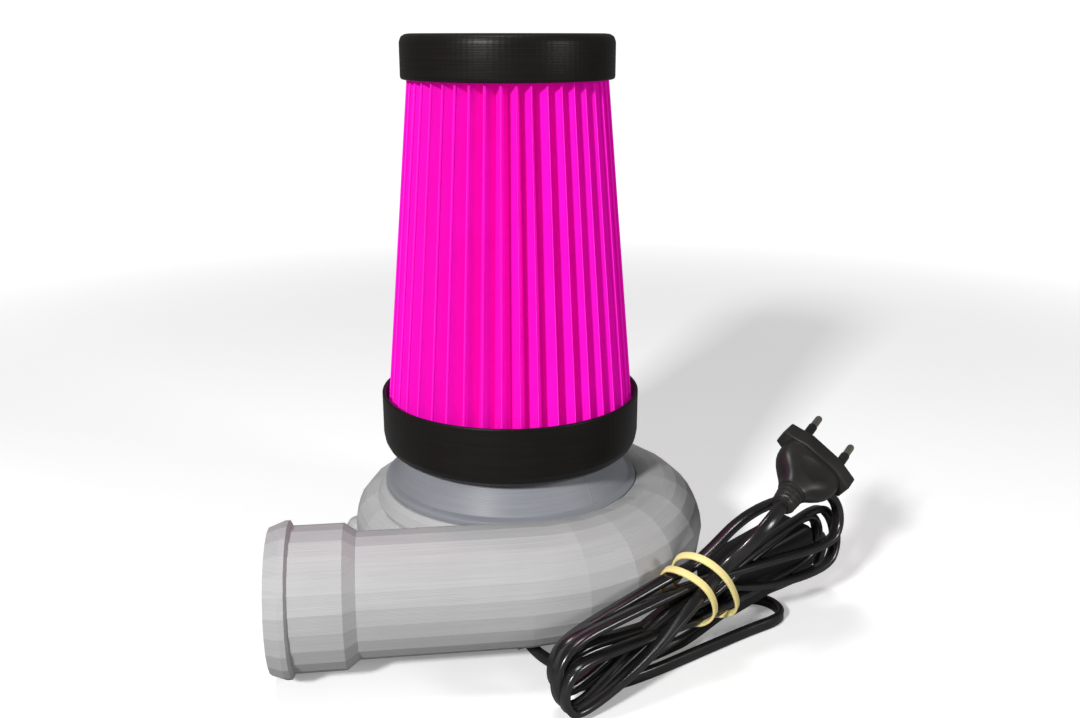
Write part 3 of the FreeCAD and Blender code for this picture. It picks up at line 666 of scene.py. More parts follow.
@dataclass
class SnailCasing:
    """The faceted snail casing with its outlet socket. Sizes are in millimetres."""

    dresser: Dresser
    sides: int = 24
    step: float = 7.5
    wall: float = 2.4
    unevenness: float = 0.2
    outlet_turn: float = 7.3
    outlet_height: float = 32.1
    stations: tuple[float, ...] = (-80.0, -66.0, -52.0, -39.0)
    bead_edge: Pair = (-87.0, -75.0)
    bead_radius: float = 31.6
    bead_slope: float = 0.9
    bead_flat: float = 2.2
    bead_length: float = 8.0
    socket_radius: float = 29.4
    socket_length: float = 21.7
    socket_cone: float = 5.0
    socket_bore: float = 25.4
    bore_depth: float = 24.0
    bore_flare: float = 1.0
    bore_shelf: float = 0.02
    lug_place: Pair = (-75.8, 20.3)
    web_centre: Triple = (-67.8, 20.3, 18.0)
    web_size: Triple = (16.0, 6.0, 8.0)
    web_round: float = 1.2
    sharpest_smooth: float = 5.0
    keys: list[tuple[float, float, float, float]] = field(default_factory=lambda: [
        (0, 12.0, 52.0, 32.8), (90, 15.5, 57.0, 34.8), (180, 19.5, 60.8, 34.3),
        (270, 23.5, 64.5, 33.8), (352.7, 25.7, 63.3, 32.1)])

    def between(self, flow: float) -> tuple[float, float, float]:
        """The section radius, centre radius and height at an angle along the flow."""
        for low, high in zip(self.keys, self.keys[1:]):
            if flow <= high[0]:
                part = (flow - low[0]) / (high[0] - low[0])
                mixed = [a + (b - a) * part for a, b in zip(low[1:], high[1:])]
                return mixed[0], mixed[1], mixed[2]
        return self.keys[-1][1:]

    def snail_sections(self, inset: float) -> list[Section]:
        """The sections round the snail and down the straight tube."""
        sections = []
        last = 360.0 - self.outlet_turn
        flow = 0.0
        while flow < last - 1.0:
            radius, reach, height = self.between(flow)
            swell = self.unevenness if round(flow / self.step) % 2 else -self.unevenness
            sections.append(self.section(flow, radius - inset + swell, reach, height))
            flow += self.step
        radius, reach, height = self.keys[-1][1:]
        sections.append(self.section(last, radius - inset, reach, height))
        return sections

    def section(self, flow: float, radius: float, reach: float, height: float) -> Section:
        """One section at an angle along the flow."""
        angle = math.radians(270.0 - flow)
        centre = Vector((reach * math.cos(angle), reach * math.sin(angle), height)) * MM
        return Section(centre, radius * MM, math.radians(180.0 - flow))

    def outlet_axis(self) -> Vector:
        """The unit vector that points out of the socket."""
        turn = math.radians(self.outlet_turn)
        return Vector((-math.cos(turn), -math.sin(turn), 0.0))

    def along_outlet(self, distance: float, radius: float) -> Section:
        """A section at a distance in millimetres outwards from the bead's inner edge."""
        edge = Vector((*self.bead_edge, self.outlet_height))
        centre = (edge + self.outlet_axis() * distance) * MM
        return Section(centre, radius * MM, math.radians(180.0 + self.outlet_turn))

    def halves(self, name: str, inset: float,
               run: Sequence[Pair]) -> tuple[bpy.types.Object, bpy.types.Object]:
        """The snail's first half, and its second half with the straight run after it.

        Args:
            name: the start of both pieces' names.
            inset: how far the snail's sections are drawn in, in millimetres.
            run: distance along the outlet and radius of each section after the snail.
        Returns:
            The two closed bodies, which share the section between them.
        """
        sections = self.snail_sections(inset)
        middle = round(180.0 / self.step)
        first = swept(name + "_start", sections[:middle + 1], self.sides)
        straight = [self.along_outlet(distance, radius) for distance, radius in run]
        second = swept(name, sections[middle:] + straight, self.sides)
        return first, second

    def outer_halves(self) -> tuple[bpy.types.Object, bpy.types.Object]:
        """The snail, the tube, the socket and the bead as two closed bodies."""
        tube = self.keys[-1][1]
        run = [(station, tube) for station in self.stations]
        run += [(-self.socket_length - self.socket_cone, tube),
                (-self.socket_length, self.socket_radius),
                (-self.bead_slope, self.socket_radius), (0.0, self.bead_radius),
                (self.bead_flat, self.bead_radius), (self.bead_length, self.socket_radius)]
        return self.halves("scroll_casing_shell", 0.0, run)

    def inner_halves(self) -> tuple[bpy.types.Object, bpy.types.Object]:
        """The air's way through the snail, the tube and the socket."""
        throat = self.keys[-1][1] - self.wall
        mouth = self.bead_length
        seat = mouth - self.bore_depth
        return self.halves("air_way", self.wall, (
            (self.stations[0], throat), (seat - self.bore_shelf, throat),
            (seat, self.socket_bore), (mouth - self.bore_flare, self.socket_bore),
            (mouth + self.bore_flare, self.socket_bore + self.bore_flare)))

    def drum(self) -> bpy.types.Object:
        """The drum round the fan with its sloping shoulder."""
        return ringed("drum", [(POLE, 6.0), (55.0, 6.0), (58.0, 30.0), (61.6, 48.6),
                               (60.0, 52.4), (58.2, 54.6), (POLE, 54.6)], 96, False)

    def lug(self) -> bpy.types.Object:
        """The rounded lug on the left."""
        post = ringed("lug", [(POLE, 12.0), (6.0, 12.0), (6.0, 17.5), (5.6, 19.8), (4.4, 21.9),
                              (2.6, 23.1), (1.2, 23.4), (POLE, 23.5)], 28, False)
        return placed(post, Matrix.Translation(Vector((*self.lug_place, 0.0)) * MM))

    def lug_web(self) -> bpy.types.Object:
        """The rib that ties the lug to the snail."""
        bench = block("lug_web", self.web_centre, self.web_size)
        top = self.web_centre[2] + self.web_size[2] / 2
        bench.select(Element.EDGE, lambda middle: middle.z > (top - 0.1) * MM)
        bpy.ops.mesh.bevel(offset=self.web_round * MM, segments=2)
        return bench.close()

    def cavity(self) -> bpy.types.Object:
        """The fan's chamber with the neck's seat above it."""
        return ringed("chamber", [(POLE, 16.4), (54.0, 16.4), (54.0, 54.6), (57.8, 54.6),
                                  (57.8, 62.0), (POLE, 62.0)], 128, False)

    def pod(self) -> bpy.types.Object:
        """The space under the chamber for the motor's supply, with the cradle's hole."""
        return ringed("pod", [(POLE, 4.0), (36.0, 4.0), (36.0, 14.0), (20.4, 14.0),
                              (20.4, 18.0), (POLE, 18.0)], 64, False)

    def build(self) -> None:
        """Model the casing, cut it hollow, dress it and let it ride."""
        start, casing = self.outer_halves()
        for solid in (start, self.drum(), self.lug(), self.lug_web()):
            joined(casing, solid, Join.UNION)
        for hollow in (*self.inner_halves(), self.cavity(), self.pod()):
            joined(casing, hollow, Join.DIFFERENCE)
        smooth(casing, self.sharpest_smooth)
        self.dresser.settle(casing, "grey_print", "body", "scroll_casing")


@dataclass
class InletNeck:
    """The lid over the fan with its cone and its spigot. Sizes are in millimetres."""

    dresser: Dresser
    sides: int = 160
    edge_round: float = 0.4
    profile: list[Pair] = field(default_factory=lambda: [
        (51.3, 52.6), (53.7, 52.6), (53.7, 54.7), (57.4, 54.7), (57.4, 57.0), (54.0, 57.9),
        (47.0, 70.7), (40.0, 70.7), (40.0, 81.0), (39.0, 82.0), (37.6, 82.0), (37.6, 68.6),
        (44.6, 68.6), (51.3, 56.5)])
    seam_radius: float = 0.22
    seam_length: float = 14.6
    seam_round: float = 0.1
    seam_place: Triple = (50.5, 0.0, 64.3)
    seam_lean: float = -28.7
    seam_angle: float = -48.0

    def build(self) -> None:
        """Turn the neck, add the seam of its print and dress both."""
        neck = ringed("neck_shell", self.profile, self.sides)
        rounded(neck, self.edge_round * MM, 2, 30.0)
        self.dresser.settle(neck, "blue_grey_print", "body", "inlet_neck")
        self.dresser.settle(self.seam(), "blue_grey_print", "body")

    def seam(self) -> bpy.types.Object:
        """The fine upright ridge where each printed layer began."""
        bench = rod("neck_seam", 8, self.seam_radius, self.seam_length)
        reach = (self.seam_length / 2 - self.seam_round) * MM
        bench.select(Element.EDGE, lambda middle: abs(middle.z) > reach)
        bpy.ops.mesh.bevel(offset=self.seam_round * MM, segments=1)
        seam = bench.close()
        lean = Matrix.Rotation(math.radians(self.seam_lean), 4, "Y")
        turn = Matrix.Rotation(math.radians(self.seam_angle), 4, "Z")
        placed(seam, turn @ Matrix.Translation(Vector(self.seam_place) * MM) @ lean)
        smooth(seam)
        return seam


# ---- The filter ----------------------------------------------------------------------

@dataclass
class ConeFilter:
    """The pleated cone between its cap and its ring. Sizes are in millimetres."""

    dresser: Dresser
    pleats: int = 43
    first_angle: float = -92.5
    tip_low: float = 55.5
    tip_high: float = 41.3
    low: float = 88.0
    high: float = 245.0
    depth: float = 9.0
    paper: float = 0.7
    fold: float = 0.4
    sides: int = 192
    swings: tuple[Triple, ...] = ((11, 0.0045, 0.7), (17, 0.003, 2.1))
    cap: list[Pair] = field(default_factory=lambda: [
        (POLE, 246.3), (43.2, 246.3), (43.2, 232.8), (44.2, 232.8), (44.7, 233.6),
        (44.7, 247.6), (43.9, 249.7), (42.2, 250.7), (40.0, 250.9), (POLE, 250.9)])
    ring: list[Pair] = field(default_factory=lambda: [
        (42.3, 71.1), (50.3, 71.1), (53.4, 71.9), (55.6, 73.8), (56.9, 76.4), (57.5, 80.0),
        (57.5, 97.9), (57.1, 98.3), (56.2, 98.3), (55.9, 97.9), (55.8, 79.8), (52.8, 74.8),
        (44.0, 74.8), (44.0, 86.0), (42.3, 86.0)])

    def pleated_cone(self) -> bpy.types.Object:
        """Fold a many-sided cone into pleats by drawing every second edge inwards."""
        bench = Bench("pleated_paper")
        middle = (self.low + self.high) / 2
        bpy.ops.mesh.primitive_cone_add(
            vertices=self.pleats * 2, radius1=self.tip_low * MM, radius2=self.tip_high * MM,
            depth=(self.high - self.low) * MM, end_fill_type="NOTHING",
            location=(0, 0, middle * MM),
            rotation=(0, 0, math.radians(self.first_angle - 90.0)))
        bench.adopt()
        for height, tip in ((self.low, self.tip_low), (self.high, self.tip_high)):
            bench.select(Element.VERT, lambda spot: abs(spot.z / MM - height) < 1.0
                         and self.is_valley(spot))
            factor = (tip - self.depth) / tip
            bpy.ops.transform.resize(value=(factor, factor, 1.0),
                                     center_override=(0, 0, height * MM))
        ridge = (self.tip_low + self.tip_high) / 2 - 2.0
        bench.select(Element.EDGE, lambda spot: abs(spot.z / MM - middle) < 1.0
                     and spot.xy.length / MM > ridge)
        bpy.ops.mesh.bevel(offset=self.fold * MM, segments=2)
        return self.loosened(bench.close())

    def loosened(self, piece: bpy.types.Object) -> bpy.types.Object:
        """Let the folds stand a little unevenly, as hand-glued paper does."""
        for vert in piece.data.vertices:
            turn = math.atan2(vert.co.y, vert.co.x)
            swing = sum(size * math.sin(count * turn + start)
                        for count, size, start in self.swings)
            vert.co = Matrix.Rotation(swing, 3, "Z") @ vert.co
        return piece

    def is_valley(self, spot: Vector) -> bool:
        """Whether a point of the cone lies midway between two ridges."""
        step = 360.0 / self.pleats
        angle = math.degrees(math.atan2(spot.y, spot.x)) - self.first_angle
        part = (angle / step) % 1.0
        return 0.25 < part < 0.75

    def mark_depth(self, piece: bpy.types.Object) -> None:
        """Store how far out between valley and ridge each point lies, for the finish."""
        layer = piece.data.attributes.new("pleat", "FLOAT", "POINT")
        slope = (self.tip_high - self.tip_low) / (self.high - self.low)
        for vert, item in zip(piece.data.vertices, layer.data):
            tip = self.tip_low + slope * (vert.co.z / MM - self.low)
            item.value = (vert.co.xy.length / MM - tip + self.depth) / self.depth

    def build(self) -> None:
        """Model the paper, the cap and the ring, dress them and let them ride."""
        paper = self.pleated_cone()
        finish_with(paper, "SOLIDIFY", thickness=self.paper * MM, offset=-1.0)
        self.mark_depth(paper)
        smooth(paper, 20.0)
        self.dresser.settle(paper, "magenta_paper", "filter", "filter_pleats")
        cap = ringed("cap_shell", self.cap, self.sides, False)
        rounded(cap, 0.0005, 2, 18.0)
        self.dresser.settle(cap, "black_print", "filter", "filter_top_cap")
        ring = ringed("ring_shell", self.ring, self.sides)
        rounded(ring, 0.0008, 3, 12.0)
        self.dresser.settle(ring, "black_print", "filter", "filter_base_ring")


# ---- The cord ------------------------------------------------------------------------

@dataclass
class Hank:
    """The tied bundle's own directions: along it, away from its front, and up."""

    origin: Vector = field(default_factory=lambda: Vector((0.0289, -0.1033, 0.0)))
    heading: float = 35.3

    def axes(self) -> tuple[Vector, Vector]:
        """The unit vectors along the bundle and away from its front."""
        angle = math.radians(self.heading)
        along = Vector((math.cos(angle), math.sin(angle), 0.0))
        return along, Vector((-along.y, along.x, 0.0))

    def point(self, along: float, depth: float, height: float) -> Vector:
        """A point of the bundle, given in millimetres, in metres."""
        forward, back = self.axes()
        return self.origin + (forward * along + back * depth + Vector((0, 0, height))) * MM


@dataclass(frozen=True)
class Turn:
    """One turn of the bundle: its two ends and the depth and height it has on the way."""

    out_lane: Pair
    out_crest: Pair
    right_reach: float
    right_out: Pair
    right_back: Pair
    back_crest: Pair
    back_lane: Pair
    left_reach: float
    left_back: Pair
    left_out: Pair


@dataclass
class MainsCord:
    """The flat two-core cord from the gland, through the tied bundle, to the plug.

    The routes are in millimetres: lead_in and tail in the object's frame, the rest along,
    behind and above the bundle's origin.
    """

    dresser: Dresser
    hank: Hank = field(default_factory=Hank)
    wide: float = 0.0056
    thick: float = 0.0036
    groove: float = 0.80
    half_step: float = 22.5
    lane_start: float = 32.0
    band_span: Pair = (52.0, 62.0)
    crest_place: float = 92.0
    twist_spread: int = 24
    twist_memory: float = 0.02
    lead_in: list[Triple] = field(default_factory=lambda: [
        (8.2, -59.6, 2.8), (11.5, -66.9, 2.8), (16.8, -73.5, 2.8), (24.4, -81.4, 2.8),
        (30.5, -90.0, 2.8)])
    first_run: list[Triple] = field(default_factory=lambda: [
        (12.0, 4.0, 2.9), (24.0, 1.0, 2.9), (40.0, 0.0, 2.9)])
    turns: list[Turn] = field(default_factory=lambda: [
        Turn((0.0, 2.9), (0.0, 2.9), 117.0, (-1.5, 2.9), (21.0, 2.9), (17.0, 3.0), (8.0, 4.5),
             -9.0, (5.0, 6.0), (6.0, 29.0)),
        Turn((3.0, 42.0), (2.0, 61.0), 141.0, (-1.0, 58.0), (-6.0, 34.0), (-5.0, 37.0),
             (-3.0, 38.0), -14.0, (-3.0, 33.0), (-4.0, 3.4)),
        Turn((-2.5, 28.0), (0.0, 38.0), 144.0, (4.0, 50.0), (-4.0, 21.0), (-3.0, 23.5),
             (3.0, 34.0), -11.0, (3.0, 31.0), (3.0, 7.5)),
        Turn((4.0, 28.0), (9.4, 27.0), 149.0, (9.4, 33.5), (12.0, 10.0), (6.0, 15.0),
             (4.0, 20.5), -7.0, (0.0, 27.5), (6.0, 4.0)),
        Turn((-3.5, 33.0), (-1.0, 42.0), 135.0, (3.0, 48.0), (2.0, 25.0), (-1.0, 23.0),
             (-3.0, 21.5), -13.0, (-7.2, 26.0), (-7.2, 3.4)),
    ])
    last_run: list[Triple] = field(default_factory=lambda: [
        (24.0, -9.0, 16.0), (50.0, -7.5, 32.0)])
    tail: list[Triple] = field(default_factory=lambda: [
        (89.0, -69.6, 44.6), (96.0, -70.9, 52.0), (103.0, -68.3, 59.0), (109.0, -62.9, 63.3),
        (114.5, -55.4, 65.9)])

    def bend(self, reach: float, first: Pair, last: Pair, side: float) -> list[Vector]:
        """The four points of a half turn at one end of the bundle.

        Args:
            reach: how far along the bundle the turn goes, in millimetres.
            first: depth and height where the turn begins.
            last: depth and height where it ends.
            side: 1 at the right end, -1 at the left.
        Returns:
            The four control points.
        """
        radius = math.hypot(first[0] - last[0], first[1] - last[1]) / 2
        middle = [(a + b) / 2 for a, b in zip(first, last)]
        half = [(a - b) / 2 for a, b in zip(first, last)]
        widen = 1.0 / math.cos(math.radians(self.half_step))
        points = []
        for count in (3, 1, -1, -3):
            swing = math.radians(count * self.half_step)
            along = reach + side * radius * (widen * math.cos(swing) - 1.0)
            lift = widen * math.sin(swing)
            points.append(self.hank.point(along, middle[0] + half[0] * lift,
                                          middle[1] + half[1] * lift))
        return points

    def lane(self, end: Pair, band: Pair, crest: Pair, left: float) -> list[Vector]:
        """The points of one long side of a turn, from its left end rightwards.

        Args:
            end: depth and height at the left end.
            band: depth and height inside the band.
            crest: depth and height midway between the band and the right end.
            left: how far along the bundle the left end lies, in millimetres.
        Returns:
            The lane's control points.
        """
        middle = [(a + b) / 2 for a, b in zip(end, band)]
        return [self.hank.point(left + self.lane_start, *middle),
                *(self.hank.point(along, *band) for along in self.band_span),
                self.hank.point(self.crest_place, *crest)]

    def route(self) -> list[Vector]:
        """All the points of the cord's route, in metres."""
        points = [Vector(p) * MM for p in self.lead_in]
        points += [self.hank.point(*p) for p in self.first_run]
        left, *start = self.first_run[0]
        for index, turn in enumerate(self.turns):
            ahead = self.lane(start, turn.out_lane, turn.out_crest, left)
            points += ahead[1:] if index == 0 else ahead
            points += self.bend(turn.right_reach, turn.right_out, turn.right_back, 1.0)
            points += self.lane(turn.left_back, turn.back_lane, turn.back_crest,
                                turn.left_reach)[::-1]
            points += self.bend(turn.left_reach, turn.left_back, turn.left_out, -1.0)
            start, left = turn.left_out, turn.left_reach
        points += [self.hank.point(*p) for p in self.last_run]
        points += [Vector(p) * MM for p in self.tail]
        return points

    def flat_axes(self, points: Sequence[Vector]) -> list[Vector]:
        """The direction of the cord's wide side at each point, square to the line.

        A flat cord bends over its thin side, so its wide side stands along the axis
        of the bends nearby.
        """
        count = len(points)
        tangents = [(points[min(i + 1, count - 1)] - points[max(i - 1, 0)]).normalized()
                    for i in range(count)]
        axes = [tangents[max(i - 1, 0)].cross(tangents[min(i + 1, count - 1)])
                for i in range(count)]
        spread = self.twist_spread
        result = []
        last = Vector((0, 0, 1))
        for index, tangent in enumerate(tangents):
            total = last * self.twist_memory
            for near in range(max(0, index - spread), min(count, index + spread + 1)):
                weight = 1.0 - abs(near - index) / (spread + 1)
                axis = axes[near]
                total += axis * weight * (1.0 if axis.dot(last) >= 0 else -1.0)
            last = (total - tangent * total.dot(tangent)).normalized()
            result.append(last)
        return result

    def outline(self) -> list[Pair]:
        """The twin-core section: two round cores side by side with a shallow groove."""
        core = self.thick / 2
        reach = self.wide / 2 - core
        shape = []
        for side in (1.0, -1.0):
            for angle in range(-65, 66, 26):
                swing = math.radians(angle)
                shape.append((side * (reach + core * math.cos(swing)),
                              side * core * math.sin(swing)))
            shape.append((0.0, side * core * self.groove))
        return shape

    def build(self, with_pieces: Iterable[bpy.types.Object | str]) -> None:
        """Args:
            with_pieces: the separate pieces on the cord; not used.
        """
        points = spline_line(self.route(), 10)
        flats = self.flat_axes(points)
        outline = self.outline()
        mesh = bpy.data.meshes.new("mains_flex")
        verts: list[Vector] = []
        for index, (point, flat) in enumerate(zip(points, flats)):
            ahead = points[min(index + 1, len(points) - 1)] - points[max(index - 1, 0)]
            thin = ahead.normalized().cross(flat)
            verts += [point + flat * across + thin * up for across, up in outline]
        size = len(outline)
        faces = [list(range(size))[::-1]]
        for ring in range(len(points) - 1):
            base = ring * size
            for side in range(size):
                following = (side + 1) % size
                faces.append([base + side, base + following, base + size + following,
                              base + size + side])
        faces.append([(len(points) - 1) * size + side for side in range(size)])
        mesh.from_pydata([tuple(v) for v in verts], [], faces)
        cord = bpy.data.objects.new("mains_flex", mesh)
        bpy.context.scene.collection.objects.link(cord)
        only(cord)
        bpy.ops.object.mode_set(mode="EDIT")
        bpy.ops.mesh.select_all(action="SELECT")
        bpy.ops.mesh.normals_make_consistent(inside=False)
        bpy.ops.object.mode_set(mode="OBJECT")
        smooth(cord, 50.0)
        self.dresser.settle(cord, "cord_pvc", "body", "mains_cord", "cord_tail", "cord_hank")


# ---- The band, the switch and the plug -----------------------------------------------

@dataclass
class RubberBand:
    """The flat rubber band that holds the bundle, laid round it twice. In millimetres."""

    dresser: Dresser
    hank: Hank = field(default_factory=Hank)
    width: float = 3.4
    thickness: float = 1.1
    edge_round: float = 0.35
    upper_turn: list[Triple] = field(default_factory=lambda: [
        (56.0, 2.0, 49.0), (59.0, -5.0, 48.5), (63.5, -10.6, 43.5), (68.0, -12.4, 36.0),
        (72.0, -12.2, 26.5), (73.0, -7.0, 20.0), (69.5, 2.0, 17.5), (64.0, 8.0, 19.0),
        (58.5, 10.5, 27.0), (55.5, 10.5, 38.0), (54.0, 7.5, 46.0)])
    lower_turn: list[Triple] = field(default_factory=lambda: [
        (48.5, 1.0, 45.0), (51.0, -6.0, 44.0), (54.5, -11.0, 40.0), (58.0, -12.4, 33.0),
        (59.5, -11.6, 26.0), (58.0, -6.0, 20.0), (56.0, 2.0, 18.0), (54.0, 7.5, 20.5),
        (51.0, 10.0, 28.0), (48.5, 9.5, 37.0), (47.5, 6.5, 43.4)])

    def strand(self, name: str, turn: Sequence[Triple]) -> bpy.types.Object:
        """One turn of the band as a ribbon with rounded edges."""
        path = spline_line([self.hank.point(*p) for p in turn], 10, True)
        middle = sum(path, Vector()) / len(path)
        across, through = [], []
        count = len(path)
        for index, place in enumerate(path):
            ahead = (path[(index + 1) % count] - path[index - 1]).normalized()
            outward = place - middle
            outward = (outward - ahead * outward.dot(ahead)).normalized()
            across.append(ahead.cross(outward))
            through.append(outward)
        half, thin = self.width / 2 * MM, self.thickness / 2 * MM
        rings = [[place + across[i] * wide + through[i] * out for i, place in enumerate(path)]
                 for wide, out in ((half, thin), (half, -thin), (-half, -thin), (-half, thin))]
        strand = lofted(name, rings, capped=False, looped=True)
        rounded(strand, self.edge_round * MM, 2, 50.0)
        return strand

    def build(self) -> bpy.types.Object:
        """Lay both turns, join them and dress the band."""
        band = self.strand("band_turns", self.upper_turn)
        joined(band, self.strand("band_lower_turn", self.lower_turn), Join.UNION)
        return self.dresser.settle(band, "cream_rubber", "body", "rubber_band")


@dataclass
class InlineSwitch:
    """The in-line switch behind the bundle, with its rocker. Sizes are in millimetres."""

    dresser: Dresser
    hank: Hank = field(default_factory=Hank)
    centre: Triple = (104.5, 9.4, 27.2)
    tilt: float = 9.0
    length: float = 56.0
    height: float = 24.0
    depth: float = 18.0
    seam: float = 0.05
    corner: float = 6.0
    face_round: float = 2.2
    edge_round: float = 0.8
    hollow_centre: float = 3.4
    hollow: Triple = (44.0, 7.2, 20.0)
    window: Triple = (23.0, 10.0, 13.0)
    window_centre: float = 7.0
    rocker_tilt: float = 11.0
    rocker_width: float = 12.0
    rocker_round: float = 0.4
    rocker_outline: list[Pair] = field(default_factory=lambda: [
        (-10.5, 8.0), (-10.1, 10.9), (-9.6, 11.5), (-6.0, 10.9), (0.0, 10.2), (6.0, 10.9),
        (9.6, 11.5), (10.1, 10.9), (10.5, 8.0), (0.0, 4.0)])
    pivot: float = 7.4
    pin_hole_radius: float = 1.05

    def place(self) -> Matrix:
        """The switch's frame: X along it, Y away from the bundle's front, Z upwards."""
        forward, back = self.hank.axes()
        swing = math.radians(self.tilt)
        up = Vector((0, 0, 1))
        along = forward * math.cos(swing) + up * math.sin(swing)
        upward = up * math.cos(swing) - forward * math.sin(swing)
        frame_matrix = Matrix((along, back, upward)).transposed().to_4x4()
        return Matrix.Translation(self.hank.point(*self.centre)) @ frame_matrix

    def build(self) -> list[bpy.types.Object]:
        """Model the housing's halves and the rocker."""
        return [self.cup("switch_front_cup", "switch_front_shell", -1.0),
                self.cup("switch_rear_cup", "switch_rear_shell", 1.0), self.rocker()]

    def cup(self, name: str, node: str, side: float) -> bpy.types.Object:
        """One half of the housing; the rear one has the rocker's window.

        Args:
            name: the piece's name.
            node: the node that it stands for.
            side: -1 for the front half, 1 for the rear half.
        Returns:
            The finished half.
        """
        bench = block(name, (0.0, side * (self.depth / 4 + self.seam / 2), 0.0),
                      (self.length, self.depth / 2 - self.seam, self.height))
        end, top = self.length / 2 - 1.0, self.height / 2 - 1.0
        bench.select(Element.EDGE, lambda spot: abs(spot.x / MM) > end
                     and abs(spot.z / MM) > top)
        bpy.ops.mesh.bevel(offset=self.corner * MM, segments=8)
        outer = side * self.depth / 2
        bench.select(Element.EDGE, lambda spot: abs(spot.y / MM - outer) < 0.1)
        bpy.ops.mesh.bevel(offset=self.face_round * MM, segments=4)
        cup = bench.close()
        hollow = block("switch_hollow", (0.0, side * self.hollow_centre, 0.0), self.hollow)
        joined(cup, hollow.close(), Join.DIFFERENCE)
        if side > 0:
            window = block("switch_window", (0.0, self.window_centre, 0.0), self.window)
            joined(cup, window.close(), Join.DIFFERENCE)
        rounded(cup, self.edge_round * MM, 3, 40.0)
        placed(cup, self.place())
        return self.dresser.settle(cup, "black_plastic", "body", node)

    def rocker(self) -> bpy.types.Object:
        """The rocker with its dished face and the hole for its pin."""
        half = self.rocker_width / 2
        rings = [[Vector((x, y, z)) * MM for x, y in self.rocker_outline] for z in (-half, half)]
        rocker = lofted("rocker_cap", rings)
        rounded(rocker, self.rocker_round * MM, 3, 30.0)
        hole = rod("pin_hole", 24, self.pin_hole_radius, 20.0, (0.0, self.pivot, 0.0))
        joined(rocker, hole.close(), Join.DIFFERENCE)
        pivot = Matrix.Translation((0, self.pivot * MM, 0))
        swing = pivot @ Matrix.Rotation(math.radians(self.rocker_tilt), 4, "Z") @ pivot.inverted()
        placed(rocker, self.place() @ swing)
        return self.dresser.settle(rocker, "black_plastic", "rocker", "switch_rocker")


